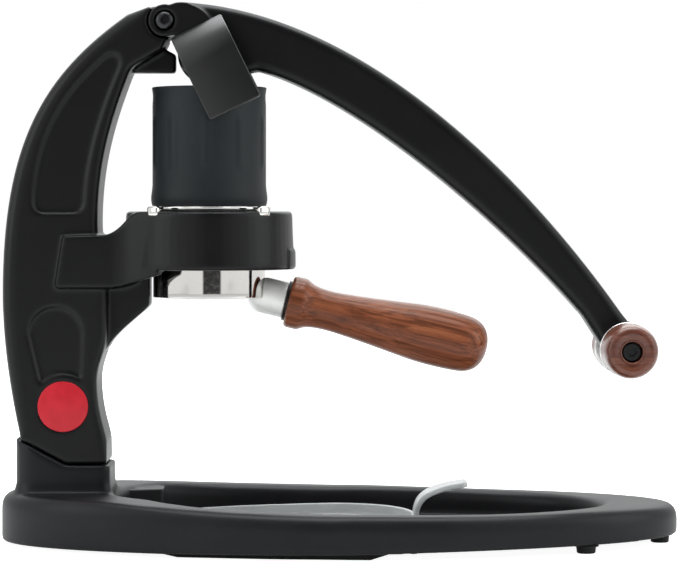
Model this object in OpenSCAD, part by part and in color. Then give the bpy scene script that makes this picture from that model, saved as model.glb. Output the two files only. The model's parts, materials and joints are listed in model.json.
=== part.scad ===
// Manual lever espresso maker: an oval base with a curved post, a lever that presses a piston
// through a brew cylinder, a swivelling portafilter and a drip tray.
// Frame: +X from the post towards the handle, +Z up, origin on the table under the base's centre.

/* [Base] */
// Length of the base from its rear end to its front tip
base_l = 321; // [312:1:330]
// Width of the base at its widest
base_w = 158; // [152:1:166]
// Height of the rim around the socket
rim_rear_h = 24.8; // [23:0.2:26]
// Height of the rim at the front tip
rim_front_h = 19.5; // [18:0.5:21.5]
// Width of the rim beside the well
rim_w = 17; // [15.5:0.5:19]
// Rounding of the rim's outer top edge
rim_r = 6.5; // [4:0.5:7]
// Rounding of the rim's edge over the well
well_r = 5.5; // [3:0.5:6]
// Flat deck between the well and the front tip
front_deck = 36.5; // [32:0.5:42]
// Gap under the rim at the rear end
rear_gap = 1.2; // [0.8:0.1:1.8]
// Gap under the rim at the front tip
front_gap = 4.4; // [3.4:0.2:5.4]
// Thickness of the web that closes the well
web_t = 2.2; // [1.8:0.2:3]
// Length of the shelf between the socket and the well
shelf_l = 20; // [16:1:24]
// Drop from the rear rim to the shelf
shelf_drop = 9; // [7:0.5:11]
// Radius of a round rubber foot
foot_r = 4.6; // [4:0.2:5.4]

/* [Socket] */
// Height of the socket at its rear
socket_rear_h = 49.6; // [44:0.1:55]
// Height of the socket at its front
socket_front_h = 38; // [35:0.1:41]
// How far the socket stands proud of the post
socket_proud = 1.6; // [1:0.1:3]
// Dark seam between the post and the socket
seam_gap = 0.6; // [0.3:0.1:1]
// Diameter of the screws that hold the post
post_screw_d = 6; // [5:0.5:8]

/* [Post] */
// Thickness of the post
post_t = 36; // [34:0.5:40]
// Rounding of the post's outer edges
post_edge_r = 6; // [3:0.5:7]
// Height of the lever's pivot
pivot_h = 247.2; // [240:0.1:254]
// Pivot's distance from the rear end of the base
pivot_reach = 78.2; // [75:0.1:81]
// Depth of the recessed panels in the post's faces
recess_d = 1.5; // [0.8:0.1:3]
// Diameter of the round badge
badge_d = 23.8; // [18:0.2:26]
// Thickness of the tongue that the lever's fork straddles
tongue_t = 22; // [18:0.5:24]
// Radius of the tongue round the pivot
tongue_r = 7.5; // [7:0.1:7.8]

/* [Holder ring] */
// Brew axis' distance from the rear end of the base
brew_reach = 98.5; // [96:0.1:101]
// Height of the ring's top
ring_top = 157.4; // [154:0.1:160]
// Height of the ring
ring_h = 27.5; // [22:0.5:30]
// Wall of the ring outside the portafilter's seat
ring_wall = 5.5; // [4:0.25:7]
// Depth of the seat for the portafilter's flange
seat_d = 2.5; // [1.5:0.1:4]
// How far the ring's arm stands proud of the post
arm_proud = 2.4; // [1:0.1:4]

/* [Brew head] */
// Diameter of the filter basket
basket_d = 49; // [46:0.5:51]
// Wall of the portafilter
pf_wall = 1.85; // [1.5:0.05:3]
// Height of the portafilter below its flange
pf_h = 38.3; // [34:0.1:42]
// Bore of the brew cylinder
cyl_bore = 46; // [43:0.5:46.2]
// Wall of the brew cylinder
cyl_wall = 2; // [1.6:0.1:2.2]
// Thickness of the silicone sleeve
sleeve_t = 2; // [1.4:0.1:2.2]
// Number of grip ribs round the sleeve
rib_count = 10; // [6:1:16]
// Slope of the portafilter's handle below the level
handle_tilt = 13.65; // [8:0.05:18]
// Length of the wooden handle
handle_l = 97; // [88:1:106]
// Diameter of the handle at its widest
handle_d = 27.3; // [24:0.1:30]
// Diameter of the polished neck
neck_d = 17.2; // [15:0.1:19]
// Height of the piston
piston_h = 12; // [9:0.5:15]

/* [Lever] */
// Thickness of the lever's beam
lever_t = 24; // [23:0.5:28]
// Rounding of the beam's edges
lever_edge_r = 4; // [2:0.25:5]
// Thickness of each fork ear
ear_t = 7; // [5.5:0.1:7.4]
// Drop from the pivot to the nose's pin
nose_drop = 15.5; // [14:0.1:17]
// Radius of the nose that presses the stem
nose_r = 14.5; // [13.5:0.1:15]
// Grip's distance from the rear end of the base
grip_reach = 296.1; // [284:0.1:306]
// Height of the grip's axis
grip_h = 92.2; // [86:0.1:100]
// Diameter of the pivot shaft
pivot_d = 8; // [6:0.1:8.4]
// Diameter of a wooden knob
knob_d = 25.4; // [22:0.1:30]
// Width across both knobs
grip_w = 78; // [70:0.5:86]

/* [Yoke] */
// Width of a cheek
cheek_w = 26.3; // [23:0.1:27.5]
// Length of a cheek
cheek_l = 43.5; // [37:0.1:46]
// Thickness of a cheek
cheek_t = 2; // [1.5:0.1:3]
// Tilt of the yoke as it hangs in the rest pose
yoke_tilt = 26.2; // [10:0.1:40]
// Diameter of the yoke's pin
yoke_pin_d = 7; // [5:0.1:8]

/* [Tray] */
// Length of the drip tray
tray_l = 120; // [112:1:124]
// Width of the drip tray
tray_w = 100; // [90:1:106]
// Height of the drip tray
tray_h = 7.4; // [6:0.1:9]
// Wall of the drip tray
tray_wall = 1.8; // [1.4:0.1:2.6]
// Width of the finger tab
tab_w = 20; // [14:0.5:26]
// How far the finger tab reaches out past the tray's wall
tab_reach = 25.7; // [20:0.1:28]
// How far the finger tab rises from the tray's wall
tab_rise = 20.6; // [16:0.2:22]

/* [Hidden] */
$fn = 72;
// Clearances: a close seat, a running fit, a loose fit between moving pieces
seat_fit = 0.05;
run_fit = 0.05;
loose_fit = 0.4;
// A cut runs this far past the face that it opens
over = 1;

// Main places
rear_x = -base_l / 2;
front_x = base_l / 2;
brew_x = rear_x + brew_reach;
pivot = [rear_x + pivot_reach, pivot_h];
nose = [brew_x, pivot_h - nose_drop];
grip = [rear_x + grip_reach, grip_h];
post_half = post_t / 2;
tongue_half = tongue_t / 2;
lever_half = lever_t / 2;

// Base outlines
outer_power_front = 1.6;
outer_power_rear = 1.85;
well_power_front = 2.1;
well_power_rear = 3;
well_rear_x = rear_x + 54.5;
well_front_x = front_x - front_deck;
well_mid_x = (well_rear_x + well_front_x) / 2;
well_half_l = (well_front_x - well_rear_x) / 2;
well_half_w = base_w / 2 - rim_w;
rim_foot_r = 1.2;
web_z = 4.2;
web_top = web_z + web_t;
web_tuck = 1.5;
shelf_z = rim_rear_h - shelf_drop;
stations = 144;
rim_level_x = base_l * 0.25;
rim_fall = base_l * 0.61;
shelf_side_half = 26;
shelf_side_drop = 2.2;

// Socket and post foot
foot_back = rear_x + 10.4;
foot_front = rear_x + 51;
seam_bend = rear_x + 31.9;
tenon_inset = 6;
tenon_back = foot_back + tenon_inset;
tenon_front = foot_front - tenon_inset;
tenon_half = post_half - tenon_inset;
tenon_top = socket_rear_h + 8;
deck_t = 8;
plinth_grow = 0.7;
socket_heel = 0.9;
plinth_h = 2.8;
screw_head_r = post_screw_d * 0.8;
screw_head_h = post_screw_d * 0.9;
screw_grip = post_screw_d * 2.6;
screw_xs = [tenon_back + 6.5, tenon_front - 6.5];

// Post, ring and arm
belly_x = rear_x + 1.5;
belly_h = 118.8;
spine_x = rear_x + 46.6;
ear_r = tongue_r + 0.2;
relief_r = ear_r + 0.5;
relief_turn = 137;
bush_wall = 1.4;
ring_bottom = ring_top - ring_h;
basket_r = basket_d / 2;
basket_fit = 0.3;
pf_bore_r = basket_r + basket_fit;
pf_r = pf_bore_r + pf_wall;
ring_bore_r = pf_r + 0.6;
flange_r = pf_r + 2.65;
seat_r = flange_r + 4.7;
ring_r = seat_r + ring_wall;
ring_draft = 0.9;
ring_edge_r = 1.6;
ring_pad = 1.7;
ring_pad_h = 9;
ring_pad_turn = 20;
arm_half = post_half + arm_proud;
arm_back = rear_x + 27;
arm_top = ring_top - 11.8;
arm_bottom = ring_top - 35.9;
gusset_half = 9;
gusset_x = brew_x - pf_r - 1.2;
gusset_z = ring_bottom - 16.8;
lug_half = 5;
lug_gap = 1.3;
badge_at = [rear_x + 30.5, 65.6];
badge_t = 1.1;
panel_low = 156.2;
badge_sink = 0.5;

// Brew head stack
seat_z = ring_top - seat_d;
pf_bottom = seat_z - pf_h;
flange_t = 4.7;
flange_low_r = 1.2;
flange_top_r = 2.2;
flange_top = seat_z + flange_t;
pf_lip = 2.8;
pf_lip_w = 4.5;
nose_low = nose[1] - nose_r;
cap_top = nose_low - 0.5;
cyl_top = nose_low - 1.6;
sleeve_top = nose_low - 0.9;
spigot_l = 11.6;
cyl_r = cyl_bore / 2;
spigot_r = pf_bore_r - 0.2;
cyl_out_r = max(cyl_r + cyl_wall, spigot_r + 0.2);
sleeve_r = cyl_out_r + sleeve_t;
band_r = sleeve_r + 0.8;
band_h = 11;
cyl_bottom = flange_top - spigot_l;
gasket_h = 2;
gasket_in = 0.8;
basket_t = 0.6;
basket_bottom = pf_bottom + pf_lip;
basket_top = cyl_bottom - 0.3;
screen_t = 1.5;
piston_z = cyl_bottom + 1.5;
piston_r = cyl_r - 0.3;
o_ring_r = 1.3;
stem_r = 8;
stem_spigot_r = stem_r - 2;
stem_spigot_l = 6;
cap_r = 12;
cap_h = 8.6;
cap_socket_l = 5;

// Portafilter handle, along its own axis from the start of the wood
handle_start = [brew_x + 37.7, pf_bottom - 1.9];
ferrule_t = 1.4;
neck_r = neck_d / 2;
neck_l = 11;
stud_r = 3;
stud_in = 8;
stud_out = 40;
handle_r = handle_d / 2;

// Lever
slot_r = tongue_r + 1;
ear_in = tongue_half + loose_fit;
ear_out = ear_in + ear_t;
ear_nose_r = nose_r - 1;
pivot_r = pivot_d / 2;
pivot_head_r = 4.4;
pivot_head_h = 2.8;
pivot_sink = 1.5;
eye_r = 9;
grip_bolt_r = 3;
grip_ring_t = 3;
grip_ring_r = 11.3;
knob_r = knob_d / 2;
knob_in = lever_half + grip_ring_t;
knob_out = grip_w / 2;
knob_recess_r = 5;
knob_recess = 6.5;
grip_head_r = 4.3;
grip_head_h = 4;

// Yoke: the cheek's flat stands outside the sleeve, and its top bends in to the fork
cheek_in = band_r + 0.5;
cheek_out = cheek_in + cheek_t;
cheek_pin = 14;
cheek_shift = 0.65;
cheek_bend_l = 18;
cheek_bend = 60;
cheek_bend_r = cheek_bend_l / sin(cheek_bend);
hub_r = 6;
hub_in = ear_out + loose_fit;
yoke_pin_r = yoke_pin_d / 2;
yoke_pin_half = cheek_in - 1.5;

// Tray
tray_mid_x = well_rear_x + shelf_l + 2 + tray_l / 2;
tray_front = tray_mid_x + tray_l / 2;
tray_power_front = 3.2;
tray_power_rear = 2;
tray_floor = 1.6;
tab_t = 2.6;

// A cubic curve from a to d with handles b and c; its end point is left to the next piece
function curve(a, b, c, d, n) = [for (i = [0:n - 1])
    let (t = i / n, u = 1 - t) a * u * u * u + 3 * b * u * u * t + 3 * c * u * t * t + d * t * t * t];

// An arc about c, both ends included
function arc(c, r, from, to, n) = [for (i = [0:n])
    let (a = from + (to - from) * i / n) c + r * [cos(a), sin(a)]];

// The same edge radius on every point of an outline
function edged(points, r) = [for (p = points) [p[0], p[1], r]];

function unit(v) = v / norm(v);
function left_of(v) = [-v[1], v[0]];
function flat(p) = [p[0], p[1]];
function away(c, r, a) = c + r * [cos(a), sin(a)];

// An outline drawn in by a share of each point's own edge radius
function drawn_in(p, share) = let (n = len(p)) [for (i = [0:n - 1])
    let (q = flat(p[i]),
        before = left_of(unit(q - flat(p[(i + n - 1) % n]))),
        after = left_of(unit(flat(p[(i + 1) % n]) - q)))
    q + p[i][2] * share * (before + after) / (1 + before * after)];

// A slab across Y whose outline points are [x, z, edge radius], with its edges rounded over.
// The outline starts at one end of its length, and each of its two long sides has half its points.
module rounded_slab(p, half, steps = 4) {
    n = len(p);
    turns = [for (k = [0:steps]) 90 * k / steps];
    sides = concat([for (a = turns) [a, -1]], [for (k = [steps:-1:0]) [turns[k], 1]]);
    points = [for (s = sides)
        let (ring = drawn_in(p, 1 - sin(s[0])))
        for (i = [0:n - 1]) [ring[i][0], s[1] * (half - p[i][2] * (1 - cos(s[0]))), ring[i][1]]];
    bands = [for (k = [0:len(sides) - 2], i = [0:n - 1])
        let (a = k * n + i, b = k * n + (i + 1) % n)
        each [[a, b, b + n], [a, b + n, a + n]]];
    front = [for (t = strip(n, 0)) [t[2], t[1], t[0]]];
    polyhedron(points, concat(front, bands, strip(n, (len(sides) - 1) * n)));
}

// Triangles across an outline of n points whose first half runs along one long side and whose
// second half runs back along the other
function strip(n, first) = [for (i = [0:n / 2 - 2])
    let (a = first + i, b = first + n - 1 - i)
    each [[a, a + 1, b - 1], [a, b - 1, b]]];

// A plate across Y from y0 to y1 with its outline in X and Z
module plate(outline, y0, y1) {
    translate([0, y1, 0]) rotate([90, 0, 0]) linear_extrude(y1 - y0) polygon(outline);
}

// A round bar across Y
module cross_bar(at, r, y0, y1) {
    translate([at[0], y0, at[1]]) rotate([-90, 0, 0]) cylinder(r = r, h = y1 - y0);
}

// A solid turned about the brew axis from a [radius, height] outline
module turned(outline) {
    translate([brew_x, 0, 0]) rotate_extrude() polygon(outline);
}

// A ring about the brew axis
module brew_ring(r_in, r_out, z0, z1) {
    turned([[r_in, z0], [r_out, z0], [r_out, z1], [r_in, z1]]);
}

// Concentric rings of holes about the brew axis
module perforations(rings, pitch, hole_r, z0, z1) {
    for (k = [0:rings], i = [0:max(1, 6 * k) - 1])
        translate([brew_x + k * pitch * cos(i * 60 / max(1, k)), k * pitch * sin(i * 60 / max(1, k)), z0])
            cylinder(r = hole_r, h = z1 - z0, $fn = 24);
}

// Child shapes stood along the handle's axis, with Z running out through the wood
module on_handle() {
    translate([handle_start[0], 0, handle_start[1]]) rotate([0, 90 + handle_tilt, 0]) children();
}

// Outlines of the base
function signed_power(c, power) = sign(c) * pow(abs(c), 2 / power);
function rim_point(t) =
    [base_l / 2 * signed_power(cos(t), cos(t) > 0 ? outer_power_front : outer_power_rear),
        base_w / 2 * sin(t)];
function well_point(t) =
    [well_mid_x + well_half_l * signed_power(cos(t), cos(t) > 0 ? well_power_front : well_power_rear),
        well_half_w * sin(t)];
function rim_height(x) =
    rim_front_h + (rim_rear_h - rim_front_h) * pow(max(0, min(1, (rim_level_x - x) / rim_fall)), 2);
function under_height(x) = rear_gap + (front_gap - rear_gap) * (x - rear_x) / base_l;

// Section of the rim: up its outside, over its two rounded edges and down the wall of the well
function rim_section(w, h, under) = concat(
    [[rim_foot_r, under], [0, under + rim_foot_r]],
    [for (a = [0:22.5:90]) [rim_r * (1 - cos(a)), h - rim_r * (1 - sin(a))]],
    [for (a = [0:22.5:90]) [w - well_r * (1 - sin(a)), h - well_r * (1 - cos(a))]],
    [[w, web_z]]);

// The rim's section carried round from the outer outline to the well's outline
module base_rim() {
    sections = [for (i = [0:stations - 1])
        let (t = 360 * i / stations, out = rim_point(t), in = well_point(t), across = unit(in - out))
        [for (q = rim_section(norm(in - out), rim_height(out[0]), under_height(out[0])))
            [out[0] + across[0] * q[0], out[1] + across[1] * q[0], q[1]]]];
    m = len(sections[0]);
    points = [for (s = sections) each s];
    faces = [for (i = [0:stations - 1], k = [0:m - 1])
        let (a = i * m + k, b = i * m + (k + 1) % m, j = (i + 1) % stations,
            c = j * m + (k + 1) % m, d = j * m + k)
        each [[a, b, c], [a, c, d]]];
    polyhedron(points, faces);
}

// The well's outline grown a little into the rim
module well_floor(z0, z1) {
    outline = [for (i = [0:stations - 1])
        let (t = 360 * i / stations, in = well_point(t))
        in + web_tuck * unit(rim_point(t) - in)];
    translate([0, 0, z0]) linear_extrude(z1 - z0) polygon(outline);
}

// Plan of the socket, with round rear corners
function socket_plan(grow) =
    let (back = foot_back - socket_proud - socket_heel - grow, front = foot_front + socket_proud + grow,
        half = post_half + socket_proud + grow, back_r = 9, front_r = 4)
    concat(arc([back + back_r, half - back_r], back_r, 90, 180, 6),
        arc([back + back_r, back_r - half], back_r, 180, 270, 6),
        arc([front - front_r, front_r - half], front_r, 270, 360, 4),
        arc([front - front_r, half - front_r], front_r, 0, 90, 4));

// Line of the seam, raised by a gap, and everything above it
function above_seam(lift) = [[foot_front + 10, socket_front_h + lift],
    [foot_front + 10, socket_rear_h + 40], [foot_back - 10, socket_rear_h + 40],
    [foot_back - 10, socket_rear_h + lift + 10 * seam_slope],
    [seam_bend, socket_front_h + lift]];
seam_slope = (socket_rear_h - socket_front_h) / (seam_bend - foot_back);

// A curved rubber strip under the rim, between two turns of the outline
strip_turns = [80.5, 126.3];
function strip_plan(side, grow) =
    let (turns = [for (i = [0:10]) side * (strip_turns[0] + (strip_turns[1] - strip_turns[0]) * i / 10)])
    concat([for (t = turns) strip_point(t, strip_in - grow)],
        [for (i = [10:-1:0]) strip_point(turns[i], strip_in + strip_w + grow)]);
function strip_point(t, in) = rim_point(t) + in * unit(well_point(t) - rim_point(t));
strip_top = under_height(base_l / 10) + 1;
strip_in = rim_w * 0.6;
strip_w = rim_w * 0.36;

// Side view of a strip, whose ends rise from the table
strip_rise_l = 10;
function strip_side() =
    let (rear = strip_point(strip_turns[1], strip_in)[0] - over,
        front = strip_point(strip_turns[0], strip_in)[0] + over)
    [[rear, strip_top], [rear, under_height(rear)], [rear + strip_rise_l, 0], [front - strip_rise_l, 0],
        [front, under_height(front)], [front, strip_top]];

// The round feet, each by its turn and its distance in from the rim: one at the front tip, one on
// each side of the front, two at the rear
feet = [[0, 8], [37, rim_w / 2], [-37, rim_w / 2], [169, 15], [-169, 15]];
foot_seat = 1.2;
foot_flange = 1.3;
foot_flange_t = 0.7;
foot_flange_gap = 0.45;

// Height of the rim's underside over a foot
function over_foot(f) =
    let (under = under_height(rim_point(f[0])[0]), w = norm(well_point(f[0]) - rim_point(f[0])))
    under + (web_z - under) * (f[1] - rim_foot_r) / (w - rim_foot_r);

// Room in the base for the feet and strips
module foot_seats() {
    for (f = feet)
        translate(concat(strip_point(f[0], f[1]), [-over]))
            cylinder(r = foot_r + seat_fit, h = over_foot(f) + foot_seat + over);
    for (side = [-1, 1])
        translate([0, 0, -over]) linear_extrude(strip_top + over) polygon(strip_plan(side, seat_fit));
}

module base_casting() {
    color("#2b2c2e") difference() {
        union() {
            base_rim();
            well_floor(web_z, web_top);
            intersection() {
                well_floor(web_z, shelf_z);
                translate([rear_x, -base_w / 2, 0])
                    cube([well_rear_x + shelf_l - rear_x, base_w, rim_rear_h]);
            }
            for (side = [-1, 1])
                intersection() {
                    well_floor(web_z, rim_rear_h - shelf_side_drop);
                    translate([rear_x, side > 0 ? shelf_side_half : -base_w / 2, 0])
                        cube([well_rear_x + shelf_l - rear_x, base_w / 2 - shelf_side_half, rim_rear_h]);
                }
            difference() {
                union() {
                    translate([0, 0, shelf_z]) linear_extrude(socket_rear_h) polygon(socket_plan(0));
                    translate([0, 0, shelf_z])
                        linear_extrude(rim_rear_h + plinth_h - shelf_z) polygon(socket_plan(plinth_grow));
                }
                plate(above_seam(0), -base_w / 2, base_w / 2);
            }
        }
        translate([tenon_back - seat_fit, -tenon_half - seat_fit, rim_rear_h])
            cube([tenon_front - tenon_back + 2 * seat_fit, 2 * (tenon_half + seat_fit), socket_rear_h]);
        translate([tenon_back - 4, -tenon_half, -over])
            cube([tenon_front - tenon_back + 8, 2 * tenon_half, rim_rear_h - deck_t + over]);
        for (x = screw_xs)
            translate([x, 0, 0]) cylinder(d = post_screw_d + 2 * loose_fit, h = rim_rear_h + over);
        foot_seats();
    }
}

module base_feet() {
    color("#151515") {
        for (f = feet)
            let (flange = over_foot(f) - foot_flange_gap, top = over_foot(f) + foot_seat)
            translate(concat(strip_point(f[0], f[1]), [0])) rotate_extrude()
                polygon([[0, 0], [foot_r - 0.8, 0], [foot_r - 0.3, 0.4], [foot_r, flange - foot_flange_t],
                    [foot_r + foot_flange, flange - foot_flange_t / 2], [foot_r + foot_flange, flange],
                    [foot_r, flange], [foot_r, top], [0, top]]);
        for (side = [-1, 1])
            intersection() {
                linear_extrude(strip_top) polygon(strip_plan(side, 0));
                plate(strip_side(), -base_w / 2, base_w / 2);
            }
    }
}

function oval(half_l, half_w) = [for (i = [0:stations - 1])
    let (t = 360 * i / stations, power = cos(t) > 0 ? tray_power_front : tray_power_rear)
    [tray_mid_x + half_l * signed_power(cos(t), power), half_w * sin(t)]];

// Curve of the finger tab, up from the tray's front wall and over towards the front
function tab_line() =
    let (start = [tray_front - tray_wall * 0.67, web_top + 2.5])
    concat(curve(start, start + [-tab_reach * 0.02, tab_rise * 0.63],
        start + [tab_reach * 0.16, tab_rise * 0.85], start + [tab_reach, tab_rise], 16),
        [start + [tab_reach, tab_rise]]);
function thickened(line, t) = let (n = len(line),
    sides = [for (i = [0:n - 1])
        left_of(unit(line[min(n - 1, i + 1)] - line[max(0, i - 1)]))])
    concat([for (i = [0:n - 1]) line[i]], [for (i = [n - 1:-1:0]) line[i] - t * sides[i]]);

module drip_tray() {
    color("#d6d9dc") union() {
        difference() {
            translate([0, 0, web_top]) linear_extrude(tray_h) polygon(oval(tray_l / 2, tray_w / 2));
            translate([0, 0, web_top + tray_floor])
                linear_extrude(tray_h) polygon(oval(tray_l / 2 - tray_wall, tray_w / 2 - tray_wall));
        }
        plate(thickened(tab_line(), tab_t), -tab_w / 2, tab_w / 2);
    }
}

// Outline of the post, each point with its edge radius: outer edge, tongue, inner edge and foot
function post_outline() =
    let (outer = post_edge_r, inner = 3, fine = 1.2)
    concat(
        [[foot_front, socket_front_h + seam_gap, fine]],
        curve([foot_front, 48.8, inner], [foot_front - 0.4, 53.8, inner], [foot_front - 4.5, 61.8, inner],
            [foot_front - 4.7, 76.8, inner], 10),
        curve([foot_front - 4.7, 76.8, inner], [foot_front - 4.5, 87.8, inner], [foot_front, 89.8, inner],
            [foot_front, 101.8, inner], 12),
        curve([foot_front, 119.8, inner], [foot_front, 136.8, inner], [spine_x, 136.8, inner],
            [spine_x, 151.8, inner], 10),
        curve([spine_x, 151.8, inner], [spine_x, 176.8, inner], pivot_point(-26.8, -50.4, inner),
            pivot_point(-17.3, -26, inner), 18),
        curve(pivot_point(-17.3, -26, inner), pivot_point(-16.4, -23.4, inner),
            pivot_point(-15.5, -22, inner), pivot_point(-13, -20.6, 2), 6),
        [pivot_point(-1.3, -13.3, fine)],
        edged(arc(pivot, tongue_r, -78, 105, 14), fine),
        curve(pivot_point(-6, 7, fine), pivot_point(-9, 6.1, 2.5), pivot_point(-12, 5, 4),
            pivot_point(-17.7, 3.2, outer), 6),
        curve(pivot_point(-17.7, 3.2, outer), pivot_point(-58.4, -25.4, outer),
            [belly_x, pivot_h - 58.4, outer], [belly_x, belly_h, outer], 32),
        curve([belly_x, belly_h, outer], [belly_x, 93.8, outer], [belly_x + 4.5, 67.8, outer],
            [foot_back, socket_rear_h + seam_gap, 3], 19),
        [[foot_back, socket_rear_h + seam_gap, fine]],
        [[seam_bend, socket_front_h + seam_gap, fine]]);
function pivot_point(dx, dz, r) = [pivot[0] + dx, pivot[1] + dz, r];

// Crescent panel in the upper half of the post's faces
function crescent() = concat(
    [[spine_x - 25.1, panel_low]],
    curve([spine_x - 11.3, panel_low], [spine_x - 7.8, panel_low], [spine_x - 5.7, panel_low + 2.6],
        [spine_x - 5.7, panel_low + 7.6], 8),
    curve([spine_x - 5.7, panel_low + 7.6], [spine_x - 5, panel_low + 27.6], pivot_plane(-28, -38),
        pivot_plane(-21, -22.4), 16),
    curve(pivot_plane(-21, -22.4), pivot_plane(-19, -17.5), pivot_plane(-22.5, -14),
        pivot_plane(-27, -15.8), 9),
    curve(pivot_plane(-27, -15.8), pivot_plane(-50, -35), [spine_x - 28.8, panel_low + 35.6],
        [spine_x - 30.5, panel_low + 6.6], 20),
    curve([spine_x - 30.5, panel_low + 6.6], [spine_x - 30.7, panel_low + 2.6],
        [spine_x - 28.8, panel_low], [spine_x - 25.1, panel_low], 8));
function pivot_plane(dx, dz) = pivot + [dx, dz];

// Arched panel above the badge, its lower edge following the badge
function arch_panel() =
    let (top = [rear_x + 27, 99.8], r = 13, rim = badge_d / 2 + 3.1)
    concat(arc(top, r, 0, 180, 14),
        arc(badge_at, rim, 136, 54, 8));

// Side view of the arm from the ring back round the post
function arm_side() = concat(
    [[brew_x, ring_bottom], [brew_x, ring_top]],
    curve([brew_x - 31.4, ring_top], [brew_x - 37.6, ring_top], [brew_x - 40.2, arm_top + 1],
        [brew_x - 50, arm_top + 0.5], 12),
    [[arm_back + 3.6, arm_top], [arm_back, arm_bottom + 1], [arm_back + 1, arm_bottom]],
    curve([brew_x - 44.5, arm_bottom], [brew_x - 36, arm_bottom + 0.6], [brew_x - 28, arm_bottom + 6],
        [brew_x - 9.6, ring_bottom], 12));

// Plan of the arm, flaring from the post's width to the ring
function arm_plan() =
    let (flare = concat(
        [[arm_back - over, arm_half]],
        curve([brew_x - 44, arm_half], [brew_x - 36, arm_half + 0.5], [brew_x - 32, arm_half + 6],
            away([brew_x, 0], ring_r - 0.6, 126), 12)))
    concat([for (p = flare) [p[0], -p[1]]], [away([brew_x, 0], ring_r - 0.6, -126)],
        [[brew_x, 0]], [away([brew_x, 0], ring_r - 0.6, 126)],
        [for (i = [len(flare) - 1:-1:0]) flare[i]]);

module holder_ring() {
    turned(concat([[ring_bore_r, ring_bottom], [ring_r + ring_draft - 0.6, ring_bottom],
        [ring_r + ring_draft, ring_bottom + 0.8]],
        arc([ring_r - ring_edge_r, ring_top - ring_edge_r], ring_edge_r, 0, 90, 6),
        [[seat_r, ring_top], [seat_r, seat_z], [ring_bore_r, seat_z]]));
    intersection() {
        turned([[seat_r + 1, ring_bottom], [ring_r + ring_pad - 0.5, ring_bottom],
            [ring_r + ring_pad, ring_bottom + 0.8], [ring_r + ring_pad - 0.1, ring_bottom + ring_pad_h],
            [seat_r + 1, ring_bottom + ring_pad_h]]);
        translate([brew_x, 0, ring_bottom - over]) linear_extrude(ring_h)
            polygon([[0, 0], away([0, 0], 2 * ring_r, -ring_pad_turn),
                away([0, 0], 2 * ring_r, ring_pad_turn)]);
    }
    difference() {
        intersection() {
            plate(arm_side(), -ring_r, ring_r);
            translate([0, 0, arm_bottom - over])
                linear_extrude(ring_top - arm_bottom + 2 * over) polygon(arm_plan());
        }
        translate([brew_x, 0, arm_bottom - over])
            cylinder(r = seat_r + 1, h = ring_top - arm_bottom + 2 * over);
    }
}

// Thin web under the arm, between the post and the portafilter
module gusset() {
    plate(concat([[foot_front - 6, ring_bottom + 0.6], [foot_front - 6, 89.8], [foot_front - 0.2, 92.8]],
        curve([foot_front + 1.5, 95.8], [foot_front + 7, 102.8], [gusset_x - 4.5, gusset_z - 5],
            [gusset_x, gusset_z], 12),
        [[gusset_x, gusset_z], [gusset_x, ring_bottom + 0.6]]), -gusset_half, gusset_half);
}

// Lug that stops the lever's nose
module stop_lug() {
    tip = nose[0] - nose_r - lug_gap;
    plate([pivot_plane(-24, -24.1), [tip - 0.8, pivot_h - 24.1], [tip, pivot_h - 23.3],
        [tip, pivot_h - 15.4], pivot_plane(-1.2, -12.4), pivot_plane(-20, -19)], -lug_half, lug_half);
}

module post_casting() {
    color("#1c1c1e") difference() {
        union() {
            rounded_slab(post_outline(), post_half);
            translate([tenon_back, -tenon_half, rim_rear_h])
                cube([tenon_front - tenon_back, 2 * tenon_half, tenon_top - rim_rear_h]);
            holder_ring();
            gusset();
            stop_lug();
        }
        cross_bar(pivot, pivot_r + run_fit + bush_wall, -post_t, post_t);
        for (side = [-1, 1]) {
            mirror([0, side < 0 ? 1 : 0, 0]) {
                cross_bar(pivot, relief_r, tongue_half, post_t);
                plate([pivot, away(pivot, 2 * relief_r, relief_turn), away(pivot, 2 * relief_r, 80)],
                    tongue_half, post_t);
            }
            plate(crescent(), side * post_half - recess_d, side * post_half + recess_d);
            plate(arch_panel(), side * post_half - recess_d, side * post_half + recess_d);
        }
        cross_bar(badge_at, badge_d / 2 + seat_fit, -post_t, badge_sink - post_half);
        for (x = screw_xs)
            translate([x, 0, rim_rear_h - over]) cylinder(d = post_screw_d, h = screw_grip + over);
    }
}

module post_screws() {
    color("#3a3a3c")
        for (x = screw_xs)
            translate([x, 0, 0]) {
                translate([0, 0, rim_rear_h - deck_t - screw_head_h]) difference() {
                    cylinder(r = screw_head_r, h = screw_head_h);
                    translate([0, 0, -over])
                        cylinder(r = screw_head_r / 2, h = screw_head_h / 2 + over, $fn = 6);
                }
                translate([0, 0, rim_rear_h - deck_t - over])
                    cylinder(d = post_screw_d - 2 * seat_fit, h = deck_t + screw_grip);
            }
}

module badge_disc() {
    color("#b8232f") cross_bar(badge_at, badge_d / 2, badge_sink - post_half - badge_t, badge_sink - post_half);
}

module pivot_bushing() {
    color("#b08d57") difference() {
        cross_bar(pivot, pivot_r + run_fit + bush_wall, -tongue_half, tongue_half);
        cross_bar(pivot, pivot_r + run_fit, -post_t, post_t);
    }
}

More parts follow.
